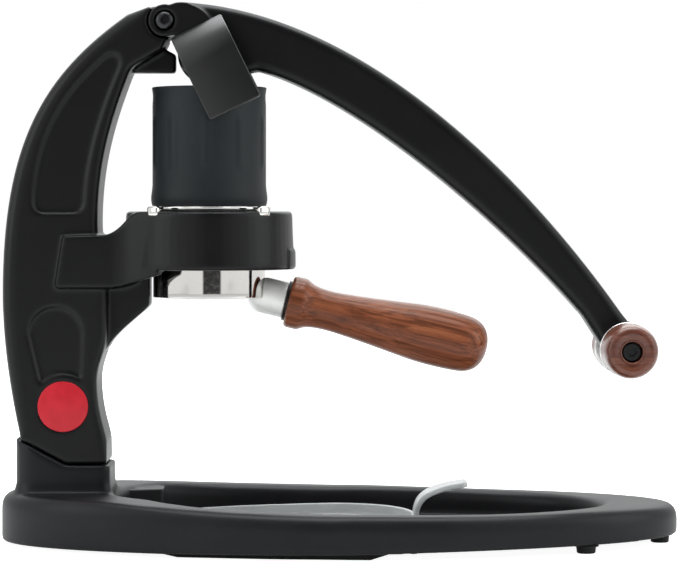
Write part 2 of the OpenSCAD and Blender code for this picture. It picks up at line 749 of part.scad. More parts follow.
// Outline of the lever's beam: lower edge, eye, upper edge, the fork's slot and the nose
function lever_outline() =
    let (edge = lever_edge_r, fine = 1.2)
    concat(
        edged(arc(nose, nose_r, 180, 298, 10), fine),
        curve(away3(nose, nose_r, 306, fine), [nose[0] + 13, nose[1] - 9.6, 2],
            [nose[0] + 18, nose[1] - 8.6, 3], pivot_point(43.9, -23.2, edge), 8),
        curve(pivot_point(43.9, -23.2, edge), pivot_point(91.6, -36.7, edge), grip_point(-56, 57.9, edge),
            grip_point(-17, 11.4, edge), 32),
        edged(arc(grip, eye_r, 218, 398, 10), edge),
        curve(grip_point(-2.8, 17.9, edge), grip_point(-49.3, 83.9, edge), pivot_point(91.2, 5.8, edge),
            pivot_point(6.8, 9.4, edge), 38),
        edged([pivot_plane(6.8, 9.4)], 2),
        edged(arc(pivot, slot_r, 48, -46, 10), fine));
function grip_point(dx, dz, r) = [grip[0] + dx, grip[1] + dz, r];
function away3(c, r, a, edge) = [c[0] + r * cos(a), c[1] + r * sin(a), edge];

// Outline of a fork ear: round the pivot, round the nose and back along a curved step
function ear_outline() =
    let (front = away(nose, ear_nose_r, 325), step = pivot_plane(21.4, 1.4), top = pivot_plane(11.9, 8))
    concat(arc(pivot, ear_r, 72, 300, 24),
        arc(nose, ear_nose_r, 152, 320, 18),
        curve(front, front + [3, 7], step + [3.4, -6], step, 10),
        curve(step, step + [-3, 4.2], top + [3, -1.2], top, 8),
        curve(top, pivot_plane(8.5, 9.4), pivot_plane(4.2, 8.6), away(pivot, ear_r, 72), 8));

module lever_casting() {
    color("#1a1a1b") difference() {
        union() {
            rounded_slab(lever_outline(), lever_half);
            plate(ear_outline(), ear_in, ear_out);
            plate(ear_outline(), -ear_out, -ear_in);
        }
        cross_bar(pivot, pivot_r + seat_fit, -post_t, post_t);
        cross_bar(pivot, pivot_head_r + 0.5, ear_out - pivot_sink, ear_out + over);
        cross_bar(pivot, pivot_head_r + 0.5, -ear_out - over, pivot_sink - ear_out);
        cross_bar(nose, yoke_pin_r + run_fit, -post_t, post_t);
        cross_bar(grip, grip_bolt_r + seat_fit, -post_t, post_t);
    }
}

module pivot_shaft() {
    color("#8e9093") cross_bar(pivot, pivot_r, pivot_sink - ear_out, ear_out - pivot_sink);
}

// Button head with a hex socket, seated on the face at y and standing out along side
module button_head(at, r, h, y, side) {
    translate([at[0], y, at[1]]) rotate([-90 * side, 0, 0]) difference() {
        rotate_extrude() polygon(concat([[0, 0], [r, 0]],
            [for (a = [0:15:75]) [r * cos(a), h * (0.3 + 0.7 * sin(a))]], [[0, h]]));
        translate([0, 0, h * 0.3]) cylinder(r = r * 0.42, h = h, $fn = 6);
    }
}

module pivot_screws() {
    color("#242426")
        for (side = [-1, 1])
            button_head(pivot, pivot_head_r, pivot_head_h, side * (ear_out - pivot_sink), side);
}

module grip_bolt() {
    color("#3a3a3c") cross_bar(grip, grip_bolt_r, knob_recess - knob_out, knob_out - knob_recess);
}

// Wooden knob with rounded rims and a recess for its screw, standing out along side
module grip_knob(side) {
    r = 3;
    h = knob_out - knob_in;
    color("#5e2f22") translate([grip[0], side * knob_in, grip[1]]) rotate([-90 * side, 0, 0])
        rotate_extrude() polygon(concat([[grip_bolt_r + seat_fit, 0]],
            arc([knob_r - 1.2, 1.2], 1.2, -90, 0, 4), arc([knob_r - r, h - r], r, 0, 90, 6),
            arc([knob_recess_r + 1, h - 1], 1, 90, 180, 3),
            [[knob_recess_r, h - knob_recess], [grip_bolt_r + seat_fit, h - knob_recess]]));
}

module left_grip_knob() {
    grip_knob(-1);
}

module right_grip_knob() {
    grip_knob(1);
}

module grip_rings() {
    color("#cfd2d4")
        for (side = [-1, 1])
            translate([grip[0], side * lever_half, grip[1]]) rotate([-90 * side, 0, 0]) rotate_extrude()
                polygon(concat([[grip_bolt_r + seat_fit, 0]], arc([grip_ring_r - 0.8, 0.8], 0.8, -90, 0, 3),
                    arc([grip_ring_r - 0.8, grip_ring_t - 0.8], 0.8, 0, 90, 3),
                    [[grip_bolt_r + seat_fit, grip_ring_t]]));
}

module grip_screws() {
    color("#18181a")
        for (side = [-1, 1])
            translate([grip[0], side * (knob_out - knob_recess), grip[1]]) rotate([-90 * side, 0, 0])
                difference() {
                    rotate_extrude() polygon(concat([[0, 0]], [[grip_head_r, 0]],
                        arc([grip_head_r - 0.6, grip_head_h - 0.6], 0.6, 0, 90, 3), [[0, grip_head_h]]));
                    translate([0, 0, grip_head_h / 2])
                        cylinder(r = grip_head_r * 0.55, h = grip_head_h, $fn = 6);
                }
}

// Section of a cheek from its lower end up its flat and in over its bend, as [distance from the
// middle plane, height above the pin]
function cheek_section() =
    let (low = cheek_pin - cheek_l, bend = cheek_pin - cheek_bend_l,
        inner = arc([cheek_out - cheek_bend_r, bend], cheek_bend_r - cheek_t, 0, cheek_bend, 9),
        outer = arc([cheek_out - cheek_bend_r, bend], cheek_bend_r, 0, cheek_bend, 9))
    concat([[cheek_in, low], [cheek_out, low]], outer, [for (i = [9:-1:0]) inner[i]]);

// A cheek with the hub that carries it on the yoke's pin
module yoke_cheek(side) {
    color("#1f1f21") translate([nose[0], 0, nose[1]]) rotate([0, -yoke_tilt, 0])
        mirror([0, side < 0 ? 1 : 0, 0]) difference() {
            union() {
                translate([cheek_shift, 0, 0]) rotate([90, 0, 90])
                    linear_extrude(cheek_w, center = true) polygon(cheek_section());
                cross_bar([0, 0], hub_r, hub_in, cheek_in - 1);
            }
            cross_bar([0, 0], yoke_pin_r + seat_fit, 0, yoke_pin_half);
        }
}

module left_yoke_cheek() {
    yoke_cheek(-1);
}

module right_yoke_cheek() {
    yoke_cheek(1);
}

module yoke_pin() {
    color("#6f7174") cross_bar(nose, yoke_pin_r, -yoke_pin_half, yoke_pin_half);
}

module portafilter_body() {
    color("#d9dbdd") turned(concat(
        [[pf_bore_r - pf_lip_w, pf_bottom], [pf_r - 0.8, pf_bottom], [pf_r, pf_bottom + 0.8],
            [pf_r, seat_z]],
        arc([flange_r - flange_low_r, seat_z + flange_low_r], flange_low_r, -90, 0, 5),
        arc([flange_r - flange_top_r, flange_top - flange_top_r], flange_top_r, 0, 90, 7),
        [[pf_bore_r, flange_top], [pf_bore_r, basket_bottom], [pf_bore_r - pf_lip_w, basket_bottom]]));
}

module portafilter_neck() {
    color("#d9dbdd") difference() {
        on_handle() {
            translate([0, 0, -neck_l]) cylinder(r = neck_r, h = neck_l - ferrule_t);
            translate([0, 0, -neck_l]) sphere(r = neck_r);
        }
        translate([brew_x, 0, pf_bottom]) cylinder(r = pf_r, h = pf_h);
        on_handle() translate([0, 0, -stud_in]) cylinder(r = stud_r + seat_fit, h = stud_in + over);
    }
}

module handle_ferrule() {
    color("#2a1a14") on_handle() translate([0, 0, -ferrule_t]) difference() {
        cylinder(r = neck_r + 0.9, h = ferrule_t);
        translate([0, 0, -over]) cylinder(r = stud_r + seat_fit, h = ferrule_t + 2 * over);
    }
}

module handle_stud() {
    color("#8e9093") on_handle() translate([0, 0, -stud_in]) cylinder(r = stud_r, h = stud_in + stud_out);
}

// Turned outline of the wood: a rounded collar, a waist and a full palm end, as [radius, length]
function handle_outline() =
    let (collar = handle_r - 1.35, waist = handle_r - 4.2)
    concat(arc([collar - 1.9, 1.9], 1.9, -90, 0, 6), arc([collar - 1.9, 6], 1.9, 0, 40, 4),
        curve([collar - 0.9, 8.2], [waist + 0.4, 10.8], [waist - 0.4, 14.5], [waist, 23], 10),
        curve([waist, 23], [waist + 0.6, 33], [handle_r - 2, 47], [handle_r - 0.6, 59], 10),
        curve([handle_r - 0.6, 59], [handle_r + 0.5, 68], [handle_r + 0.3, handle_l - 18],
            [handle_r - 0.2, handle_l - 12], 8),
        curve([handle_r - 0.2, handle_l - 12], [handle_r - 0.8, handle_l - 3.4], [7.4, handle_l],
            [0, handle_l], 12),
        [[0, handle_l], [0, 0]]);

module wooden_handle() {
    color("#8a4a2b") on_handle() difference() {
        rotate_extrude() polygon(handle_outline());
        translate([0, 0, -over]) cylinder(r = stud_r + seat_fit, h = stud_out + over);
    }
}

module filter_basket() {
    color("#c2c5c8") difference() {
        turned([[0, basket_bottom], [basket_r - 2, basket_bottom], [basket_r, basket_bottom + 2],
            [basket_r, basket_top], [basket_r - basket_t, basket_top],
            [basket_r - basket_t, basket_bottom + 2.2], [basket_r - 2.2, basket_bottom + basket_t],
            [0, basket_bottom + basket_t]]);
        perforations(5, 3.4, 0.7, basket_bottom - over, basket_bottom + basket_t + over);
    }
}

module shower_screen() {
    color("#b9bcc0") difference() {
        translate([brew_x, 0, basket_top - screen_t])
            cylinder(r = basket_r - basket_t - basket_fit, h = screen_t);
        perforations(4, 4.6, 0.9, basket_top - screen_t - over, basket_top + over);
    }
}

module brew_cylinder() {
    groove_z = (cyl_bottom + flange_top) / 2;
    color("#c9ccce") turned([[cyl_r, cyl_bottom], [spigot_r, cyl_bottom],
        [spigot_r, groove_z - gasket_h / 2], [spigot_r - gasket_in, groove_z - gasket_h / 2],
        [spigot_r - gasket_in, groove_z + gasket_h / 2], [spigot_r, groove_z + gasket_h / 2],
        [spigot_r, flange_top], [cyl_out_r, flange_top], [cyl_out_r, cyl_top - 0.6],
        [cyl_out_r - 0.6, cyl_top], [cyl_r + 0.6, cyl_top], [cyl_r, cyl_top - 0.6]]);
}

module cylinder_gasket() {
    groove_z = (cyl_bottom + flange_top) / 2;
    low = groove_z - gasket_h / 2 + seat_fit;
    high = groove_z + gasket_h / 2 - seat_fit;
    out = pf_bore_r - seat_fit;
    color("#8c2f2a") turned([[spigot_r - gasket_in + seat_fit, low], [out - 0.3, low], [out, groove_z],
        [out - 0.3, high], [spigot_r - gasket_in + seat_fit, high]]);
}

// Plain upright grip ribs round the sleeve
module sleeve_ribs() {
    rib_low = flange_top + band_h + 7;
    rib_high = sleeve_top - 12;
    for (i = [0:rib_count - 1])
        translate([brew_x, 0, 0]) rotate([0, 0, (i + 0.5) * 360 / rib_count])
            translate([sleeve_r - 1.6, 0, rib_low]) cylinder(r = 2.1, h = rib_high - rib_low, $fn = 32);
}

module silicone_sleeve() {
    bottom = flange_top + 0.2;
    shoulder = bottom + band_h;
    color("#2c3236") difference() {
        union() {
            turned(concat([[cyl_out_r - 1, bottom], [band_r - 0.5, bottom], [band_r, bottom + 0.6],
                [band_r, shoulder - 2.5]],
                curve([band_r, shoulder - 2], [band_r, shoulder - 0.5], [sleeve_r, shoulder - 0.5],
                    [sleeve_r, shoulder + 2.5], 5),
                curve([sleeve_r, shoulder + 2.5], [sleeve_r, shoulder + 20], [sleeve_r - 0.1, sleeve_top - 16],
                    [sleeve_r - 0.3, sleeve_top - 7], 4),
                [[sleeve_r - 0.3, sleeve_top - 6], [sleeve_r, sleeve_top - 1], [sleeve_r - 0.4, sleeve_top],
                    [cyl_out_r - 1, sleeve_top]]));
            sleeve_ribs();
        }
        translate([brew_x, 0, bottom - over])
            cylinder(r = cyl_out_r + seat_fit, h = sleeve_top - bottom + 2 * over);
    }
}

// Heights of the two O-ring grooves
o_ring_zs = [piston_z + piston_h * 0.28, piston_z + piston_h * 0.72];
o_ring_mid = cyl_r - o_ring_r - run_fit;

module piston() {
    color("#b4b7ba") difference() {
        turned([[0, piston_z], [piston_r - 1, piston_z], [piston_r, piston_z + 1],
            [piston_r, piston_z + piston_h - 1], [piston_r - 1, piston_z + piston_h], [0, piston_z + piston_h]]);
        for (z = o_ring_zs)
            brew_ring(o_ring_mid - o_ring_r - seat_fit, cyl_r + over, z - o_ring_r - seat_fit,
                z + o_ring_r + seat_fit);
        translate([brew_x, 0, piston_z + piston_h - stem_spigot_l])
            cylinder(r = stem_spigot_r + seat_fit, h = stem_spigot_l + over);
    }
}

module piston_o_rings() {
    color("#141414")
        for (z = o_ring_zs)
            translate([brew_x, 0, z]) rotate_extrude() translate([o_ring_mid, 0]) circle(r = o_ring_r, $fn = 32);
}

module piston_stem() {
    low = piston_z + piston_h;
    foot = low - stem_spigot_l + seat_fit;
    shoulder = cap_top - cap_h;
    color("#a7aaae") turned([[0, foot], [stem_spigot_r, foot], [stem_spigot_r, low], [stem_r, low],
        [stem_r, shoulder], [stem_spigot_r, shoulder], [stem_spigot_r, shoulder + cap_socket_l],
        [0, shoulder + cap_socket_l]]);
}

module stem_cap() {
    low = cap_top - cap_h;
    socket_top = low + cap_socket_l + seat_fit;
    color("#202022") turned([[stem_spigot_r + seat_fit, low], [cap_r - 0.8, low], [cap_r, low + 0.8],
        [cap_r, cap_top - 1.5], [cap_r - 1.5, cap_top], [0, cap_top], [0, socket_top],
        [stem_spigot_r + seat_fit, socket_top]]);
}

base_casting();
base_feet();
drip_tray();
post_casting();
post_screws();
badge_disc();
pivot_bushing();
lever_casting();
pivot_shaft();
pivot_screws();
grip_bolt();
left_grip_knob();
right_grip_knob();
grip_rings();
grip_screws();
left_yoke_cheek();
right_yoke_cheek();
yoke_pin();
portafilter_body();
portafilter_neck();
handle_ferrule();
handle_stud();
wooden_handle();
filter_basket();
shower_screen();
brew_cylinder();
cylinder_gasket();
silicone_sleeve();
piston();
piston_o_rings();
piston_stem();
stem_cap();
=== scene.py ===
"""Looks of a manual lever espresso maker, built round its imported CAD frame.

Shapes are worked out in millimetres in the frame's axes: +X from the post to the grip, +Y away from
the camera, +Z up, with the origin on the table under the base's centre.
"""

import json
import math

import bmesh
import bpy
import numpy as np
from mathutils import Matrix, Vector


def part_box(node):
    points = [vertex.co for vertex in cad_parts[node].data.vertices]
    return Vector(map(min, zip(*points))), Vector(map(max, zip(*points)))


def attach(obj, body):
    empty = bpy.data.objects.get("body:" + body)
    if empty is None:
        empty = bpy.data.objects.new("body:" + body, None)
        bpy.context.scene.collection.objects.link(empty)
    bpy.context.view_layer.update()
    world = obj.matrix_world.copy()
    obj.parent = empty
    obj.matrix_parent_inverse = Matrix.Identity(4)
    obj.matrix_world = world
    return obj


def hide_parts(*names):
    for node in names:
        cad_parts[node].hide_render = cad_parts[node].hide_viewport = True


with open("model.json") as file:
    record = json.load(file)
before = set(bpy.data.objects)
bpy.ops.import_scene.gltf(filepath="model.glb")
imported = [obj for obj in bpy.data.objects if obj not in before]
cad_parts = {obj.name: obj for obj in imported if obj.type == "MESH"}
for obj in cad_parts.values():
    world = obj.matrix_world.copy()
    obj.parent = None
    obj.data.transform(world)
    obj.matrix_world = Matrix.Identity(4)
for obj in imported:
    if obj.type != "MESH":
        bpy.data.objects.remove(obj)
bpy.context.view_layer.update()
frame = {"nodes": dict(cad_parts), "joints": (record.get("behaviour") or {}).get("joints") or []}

JOINTS = {joint["name"]: joint for joint in frame["joints"]}
HANDS = ((-1, "left"), (1, "right"))
MM = 0.001

# Meshes: points within SEAM metres are merged, edges under SPECK metres dropped, folds past SHARP_EDGE
# stay sharp, and a closed outline ends CLOSE millimetres from its start
SEAM, SPECK = 1e-6, 1e-7
SHARP_EDGE = math.radians(50)
CLOSE = 0.01
QUARTER = np.linspace(0, np.pi / 2, 6)


def node_box(name):
    """Lowest and highest corner of a CAD node, in millimetres."""
    return np.array(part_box(name)) / MM


def node_radius(name):
    """Half the width in X of a round CAD node, in millimetres."""
    low, high = node_box(name)
    return (high[0] - low[0]) / 2


def joint_place(name):
    """Centre of a hinge, in millimetres."""
    return np.array(JOINTS[name]["pos_m"]) / MM


# Places that the frame gives
PIVOT = joint_place("lever_hinge")
NOSE = joint_place("yoke_swing")
BREW_X = joint_place("head_swivel")[0]
GRIP_X, _, GRIP_Z = node_box("grip_bolt").mean(axis=0)

# Camera, fitted to the photograph's frame
FRAME_W, FRAME_H = 679, 561
CAMERA_DISTANCE = 1355
CAMERA_HEIGHT = 159
HORIZON_ROW = 208
PIXELS_PER_MM = 2.1
SENSOR_MM = 36

# Sizes of the pieces that are drawn again or added here
CHEEK_W, CHEEK_L, CHEEK_T = 26.3, 43.5, 2.0
CHEEK_ABOVE_PIN, CHEEK_SHIFT = 14.0, 0.65
CHEEK_BEND_L, CHEEK_BEND = 18.0, math.radians(60)
CHEEK_EDGE, CHEEK_TIP = 0.55, 1.2
YOKE_TILT = math.radians(26.2)
HUB_R, HUB_IN, HUB_SHORT, HUB_EDGE = 6.0, 18.8, 1.0, 0.5
SLEEVE_R, SLEEVE_BORE = 27.0, 25.05
SLEEVE_FLARE, SLEEVE_FLARE_TOP, SLEEVE_FLARE_H = 0.8, 11.0, 9.0
SLEEVE_TUCK, SLEEVE_TUCK_H = 0.8, 5.0
SLEEVE_LIP, SLEEVE_LIP_H = 0.25, 4.0
SLEEVE_WAIST, SLEEVE_WAIST_H = 0.2, 9.0
SLEEVE_FOOT_ROUND, SLEEVE_TOP_ROUND = 0.8, 0.4
RIB_COUNT, RIB_RISE, RIB_FADE = 10, 0.5, 5.0
RIB_ABOVE_FOOT, RIB_BELOW_TOP = 16.0, 12.0
CUP_R, CUP_BORE, CUP_LIP, CUP_LIP_W = 26.65, 24.8, 2.8, 4.5
FLANGE_T, FLANGE_DRAFT = 4.7, 0.52
TRAY_L, TRAY_H, TRAY_WALL, TRAY_FLOOR = 120.0, 7.4, 1.8, 1.6
TRAY_POWER, TRAY_TAPER, TRAY_TAPER_L, TRAY_TAPER_BLEND = 3.2, 0.32, 53.0, 0.03
TAB_W, TAB_T, TAB_REACH, TAB_RISE = 20.0, 2.6, 25.7, 20.6
TAB_SET, TAB_FOOT, TAB_EDGE, TAB_TIP = 0.67, 2.5, 0.9, 4.0
BADGE_DOME, BADGE_EDGE = 0.5, 0.93
HANDLE_TILT = math.radians(13.65)
HANDLE_R, HANDLE_L, FERRULE_T = 13.65, 97.0, 1.4
KNOB_RECESS_R, KNOB_RECESS, KNOB_ROUND = 4.8, 6.5, 10.0
KNOB_BEAD, KNOB_DIP = 0.35, 0.9
COLLAR_T, COLLAR_PROUD = 3.0, 0.22
SHELF_X, SHELF_Y, SHELF_Z = (-113.0, -85.6), (24.7, 26.7, 44.0), (13.0, 22.7)
SHELF_TURN, SHELF_ROUND, SHELF_DRAW = math.radians(16), 0.8, 0.1
LUG_R, LUG_Z, LUG_HALF, LUG_POWER = 38.3, 157.5, (2.0, 3.3, 2.4), 0.5
LUG_TURNS = np.radians([-46.5, -129.5])
HEAD_H, HEAD_ROOM, HEAD_EDGE = 2.6, 0.3, 0.55
HEX_FLAT, HEX_DEEP, HEX_RIM = 1.5, 2.35, 1.25


# Shader expressions


class Value:
    """A shader socket that takes part in Python sums: each operator adds the Math node it stands for."""

    def __init__(self, shader, socket):
        self.shader = shader
        self.socket = socket

    def maths(self, operation, first, second=0.0):
        """One Math node on two values or numbers."""
        return self.shader.node("ShaderNodeMath", {"operation": operation}, {0: first, 1: second})

    def __add__(self, other):
        return self.maths("ADD", self, other)

    def __sub__(self, other):
        return self.maths("SUBTRACT", self, other)

    def __rsub__(self, other):
        return self.maths("SUBTRACT", other, self)

    def __mul__(self, other):
        return self.maths("MULTIPLY", self, other)

    __radd__ = __add__
    __rmul__ = __mul__

    def top(self, other):
        """The larger of two values."""
        return self.maths("MAXIMUM", self, other)

    def size(self):
        """The value without its sign."""
        return self.maths("ABSOLUTE", self)

    def ramp(self, low, high, to_low=0.0, to_high=1.0):
        """Smooth change from to_low to to_high as the value goes from low to high."""
        return self.shader.node(
            "ShaderNodeMapRange", {"interpolation_type": "SMOOTHSTEP"},
            {"Value": self, "From Min": low, "From Max": high, "To Min": to_low, "To Max": to_high})


class Shader:
    """A node tree, with one method that adds any node to it."""

    def __init__(self, tree):
        self.tree = tree

    def node(self, kind, settings=None, inputs=None, out=0):
        """Adds a node, its settings first, then its sockets, and gives one of its outputs as a value."""
        made = self.tree.nodes.new(kind)
        for key, value in (settings or {}).items():
            if key == "stops":
                elements = made.color_ramp.elements
                while len(elements) < len(value):
                    elements.new(0.5)
                for element, (place, colour) in zip(elements, value):
                    element.position = place
                    element.color = (*colour, 1)
            else:
                setattr(made, key, value)
        for key, value in (inputs or {}).items():
            self.feed(made.inputs[key], value)
        return Value(self, made.outputs[out])

    def feed(self, socket, value):
        """Links a value to a socket, or sets the socket to a number or a colour."""
        if isinstance(value, Value):
            self.tree.links.new(value.socket, socket)
        elif isinstance(value, (tuple, list)) and socket.type == "RGBA" and len(value) == 3:
            socket.default_value = (*value, 1)
        else:
            socket.default_value = value

    def ray(self, kind):
        """1 for rays of a kind, such as Camera or Glossy, and 0 for all others."""
        return self.node("ShaderNodeLightPath", out=f"Is {kind} Ray")

    def noise(self, place, scale, detail=3.0, rough=0.5):
        """Noise about 0.5, with scale features to the metre."""
        return self.node("ShaderNodeTexNoise", None,
                         {"Vector": place, "Scale": scale, "Detail": detail, "Roughness": rough}, "Fac")

    def blend(self, amount, first, second):
        """Colour that goes from first to second as the amount goes from 0 to 1."""
        return self.node("ShaderNodeMix", {"data_type": "RGBA"}, {0: amount, 6: first, 7: second}, 2)

    def bump(self, height, strength, distance):
        """Normal of a surface that rises by distance, in metres, where the height is 1."""
        return self.node("ShaderNodeBump", None,
                         {"Strength": strength, "Distance": distance, "Height": height})


class Finish(Shader):
    """A material with one Principled surface."""

    def __init__(self, name, **constants):
        self.material = bpy.data.materials.new(name)
        self.material.use_nodes = True
        super().__init__(self.material.node_tree)
        self.surface = self.tree.nodes["Principled BSDF"]
        self.place = self.node("ShaderNodeTexCoord", out="Object")
        for key, value in constants.items():
            self.set(key.replace("_", " ").title().replace("Ior", "IOR"), value)

    def set(self, socket, value):
        """Feeds a socket of the surface."""
        self.feed(self.surface.inputs[socket], value)

    def along(self, centre, tilt):
        """Object coordinates turned so that X runs along a tilted axis through centre, in metres."""
        return self.node("ShaderNodeMapping", {"vector_type": "TEXTURE"},
                         {"Vector": self.place, "Location": tuple(np.array(centre) * MM),
                          "Rotation": (0, tilt, 0)})

    def stretched(self, place, factors):
        """Coordinates with each axis scaled by its own factor."""
        return self.node("ShaderNodeVectorMath", {"operation": "MULTIPLY"}, {0: place, 1: factors})


def powder_coat(name, dark, light, roughness, gloss, clear):
    """Satin powder coat on a casting: a fine grain over slow orange-peel waves, with uneven gloss."""
    coat = Finish(name, specular_ior_level=gloss, coat_weight=clear, coat_roughness=0.3)
    grain = coat.noise(coat.place, 2600, 2)
    peel = coat.noise(coat.place, 420, 3)
    cloud = coat.noise(coat.place, 38, 4)
    shade = cloud.ramp(0.3, 0.75) * 0.6 + grain.ramp(0.35, 0.75) * 0.4
    coat.set("Base Color", coat.blend(shade, dark, light))
    coat.set("Roughness", roughness + (cloud - 0.5) * 0.1 + (grain - 0.5) * 0.08)
    coat.set("Normal", coat.bump(grain * 0.6 + peel, 0.35, 0.00006))
    return coat.material


def polished_chrome(name, dark, light, ripple, roughness, metallic=1.0):
    """Mirror plating with a faint ripple and polishing haze."""
    chrome = Finish(name, metallic=metallic)
    waves = chrome.noise(chrome.place, 90, 2)
    haze = chrome.noise(chrome.place, 700, 3)
    chrome.set("Base Color", chrome.blend(haze, dark, light))
    chrome.set("Roughness", roughness + haze.ramp(0.4, 0.9) * 0.05)
    chrome.set("Normal", chrome.bump(waves, ripple, 0.001))
    return chrome.material


def turned_wood(name, centre, tilt, tones, roughness, clear):
    """Oiled walnut: long fibres and dark pores along X of its own axis, over slow growth bands."""
    wood = Finish(name, specular_ior_level=0.22, coat_roughness=0.2)
    grain = wood.along(centre, tilt)
    fibre = wood.noise(wood.stretched(grain, (14, 700, 700)), 1.0, 5, 0.65)
    band = wood.noise(wood.stretched(grain, (5, 130, 85)), 1.0, 3, 0.6)
    pore = wood.noise(wood.stretched(grain, (120, 2600, 2600)), 1.0, 2, 0.5)
    streak = wood.noise(wood.stretched(grain, (10, 950, 800)), 1.0, 3, 0.6)
    deep, middle, pale = tones
    tone = wood.node("ShaderNodeValToRGB",
                     {"stops": [(0.34, deep), (0.5, middle), (0.66, pale)]},
                     {"Fac": band * 0.4 + fibre * 0.6})
    lines = streak.ramp(0.5, 0.63) * 0.55
    pores = pore.ramp(0.6, 0.72) * 0.4
    wood.set("Base Color", wood.blend(lines.top(pores), tone, tuple(c * 0.6 for c in deep)))
    wood.set("Roughness", roughness + fibre * 0.16 + pores * 0.2)
    wood.set("Coat Weight", clear * (1 - pores * 1.5))
    wood.set("Normal", wood.bump(fibre * 0.5 - pores - lines * 0.4, 0.35, 0.00012))
    return wood.material


def matt_silicone(name, dark, light):
    """Matt moulded silicone with a dusty bloom and a very fine grain."""
    rubber = Finish(name, specular_ior_level=0.3)
    bloom = rubber.noise(rubber.place, 55, 5, 0.6)
    grain = rubber.noise(rubber.place, 3200, 2)
    rubber.set("Base Color", rubber.blend(bloom.ramp(0.35, 0.75), dark, light))
    rubber.set("Roughness", 0.5 + bloom * 0.16)
    rubber.set("Normal", rubber.bump(grain, 0.3, 0.00005))
    return rubber.material


def frosted_plastic(name, dark, light):
    """Translucent pale grey moulding, frosted, with faint flow clouds."""
    clear = Finish(name, transmission_weight=0.45, specular_ior_level=0.55)
    cloud = clear.noise(clear.place, 40, 4)
    frost = clear.noise(clear.place, 1900, 2)
    clear.set("Base Color", clear.blend(cloud.ramp(0.3, 0.7), dark, light))
    clear.set("Roughness", 0.24 + frost * 0.16)
    clear.set("Normal", clear.bump(frost, 0.2, 0.00005))
    return clear.material


def red_enamel(name, dark, light):
    """Smooth red enamel with a slight mottle under a clear coat."""
    red = Finish(name, specular_ior_level=0.3, coat_weight=0.15, coat_roughness=0.12)
    mottle = red.noise(red.place, 160, 4)
    red.set("Base Color", red.blend(mottle.ramp(0.3, 0.7), dark, light))
    red.set("Roughness", 0.34 + mottle * 0.1)
    red.set("Normal", red.bump(mottle, 0.15, 0.00008))
    return red.material


def worked_metal(name, dark, light, roughness, metallic=1.0):
    """Machined metal with fine tool marks and uneven gloss."""
    metal = Finish(name, metallic=metallic)
    marks = metal.noise(metal.stretched(metal.place, (900, 900, 5200)), 1.0, 3)
    cloud = metal.noise(metal.place, 120, 3)
    metal.set("Base Color", metal.blend(cloud.ramp(0.3, 0.7), dark, light))
    metal.set("Roughness", roughness + marks * 0.14)
    metal.set("Normal", metal.bump(marks, 0.2, 0.00004))
    return metal.material


def dull_polymer(name, dark, light, roughness):
    """Rubber or plain moulding with a soft grain."""
    soft = Finish(name, specular_ior_level=0.3)
    grain = soft.noise(soft.place, 2100, 3)
    cloud = soft.noise(soft.place, 90, 3)
    soft.set("Base Color", soft.blend(cloud.ramp(0.3, 0.7), dark, light))
    soft.set("Roughness", roughness + grain * 0.12)
    soft.set("Normal", soft.bump(grain, 0.25, 0.00006))
    return soft.material


# Shapes


def surface(name, *grids):
    """One mesh over grids of points in millimetres. A grid is (points, closed round rows, closed
    round columns); each of its cells is a quad, and points that meet at seams and poles are merged."""
    points = []
    faces = []
    count = 0
    for grid, wrap_rows, wrap_columns in grids:
        index = np.arange(grid.shape[0] * grid.shape[1]).reshape(grid.shape[:2]) + count
        below = np.roll(index, -1, axis=0)
        quads = np.stack([index, below, np.roll(below, -1, axis=1), np.roll(index, -1, axis=1)], axis=-1)
        quads = quads if wrap_rows else quads[:-1]
        quads = quads if wrap_columns else quads[:, :-1]
        points.append(grid.reshape(-1, 3) * MM)
        faces.append(quads.reshape(-1, 4))
        count += index.size
    mesh = bpy.data.meshes.new(name)
    mesh.from_pydata(np.concatenate(points), [], np.concatenate(faces).tolist())
    return finished(name, mesh)


def finished(name, mesh):
    """A mesh with its seams merged and its faces outward, as an object of the scene."""
    work = bmesh.new()
    work.from_mesh(mesh)
    bmesh.ops.remove_doubles(work, verts=work.verts, dist=SEAM)
    bmesh.ops.dissolve_degenerate(work, edges=work.edges, dist=SPECK)
    bmesh.ops.recalc_face_normals(work, faces=work.faces)
    work.to_mesh(mesh)
    work.free()
    mesh.shade_smooth()
    mesh.set_sharp_from_angle(angle=SHARP_EDGE)
    thing = bpy.data.objects.new(name, mesh)
    bpy.context.collection.objects.link(thing)
    return thing


def rounded(corners, steps=6):
    """A line through [s, r, cut] corners: each corner with a cut gives way to a quadratic curve that
    starts and ends that far from it."""
    corners = np.array(corners, dtype=float)
    line = [corners[:1, :2]]
    t = np.linspace(0, 1, steps + 1)[:, None]
    for before, here, after in zip(corners[:-2], corners[1:-1], corners[2:]):
        p = here[:2]
        if here[2] == 0:
            line.append(p[None])
            continue
        start = p + (before[:2] - p) * min(0.5, here[2] / np.linalg.norm(before[:2] - p))
        end = p + (after[:2] - p) * min(0.5, here[2] / np.linalg.norm(after[:2] - p))
        line.append(start * (1 - t) ** 2 + p * 2 * t * (1 - t) + end * t ** 2)
    line.append(corners[-1:, :2])
    return np.concatenate(line)


def evened(line, most=2.0):
    """The same line with its long steps split, so that smooth shading stays true to it."""
    parts = [np.linspace(a, b, max(2, math.ceil(np.linalg.norm(b - a) / most) + 1))[:-1]
             for a, b in zip(line[:-1], line[1:])]
    return np.concatenate(parts + [line[-1:]])


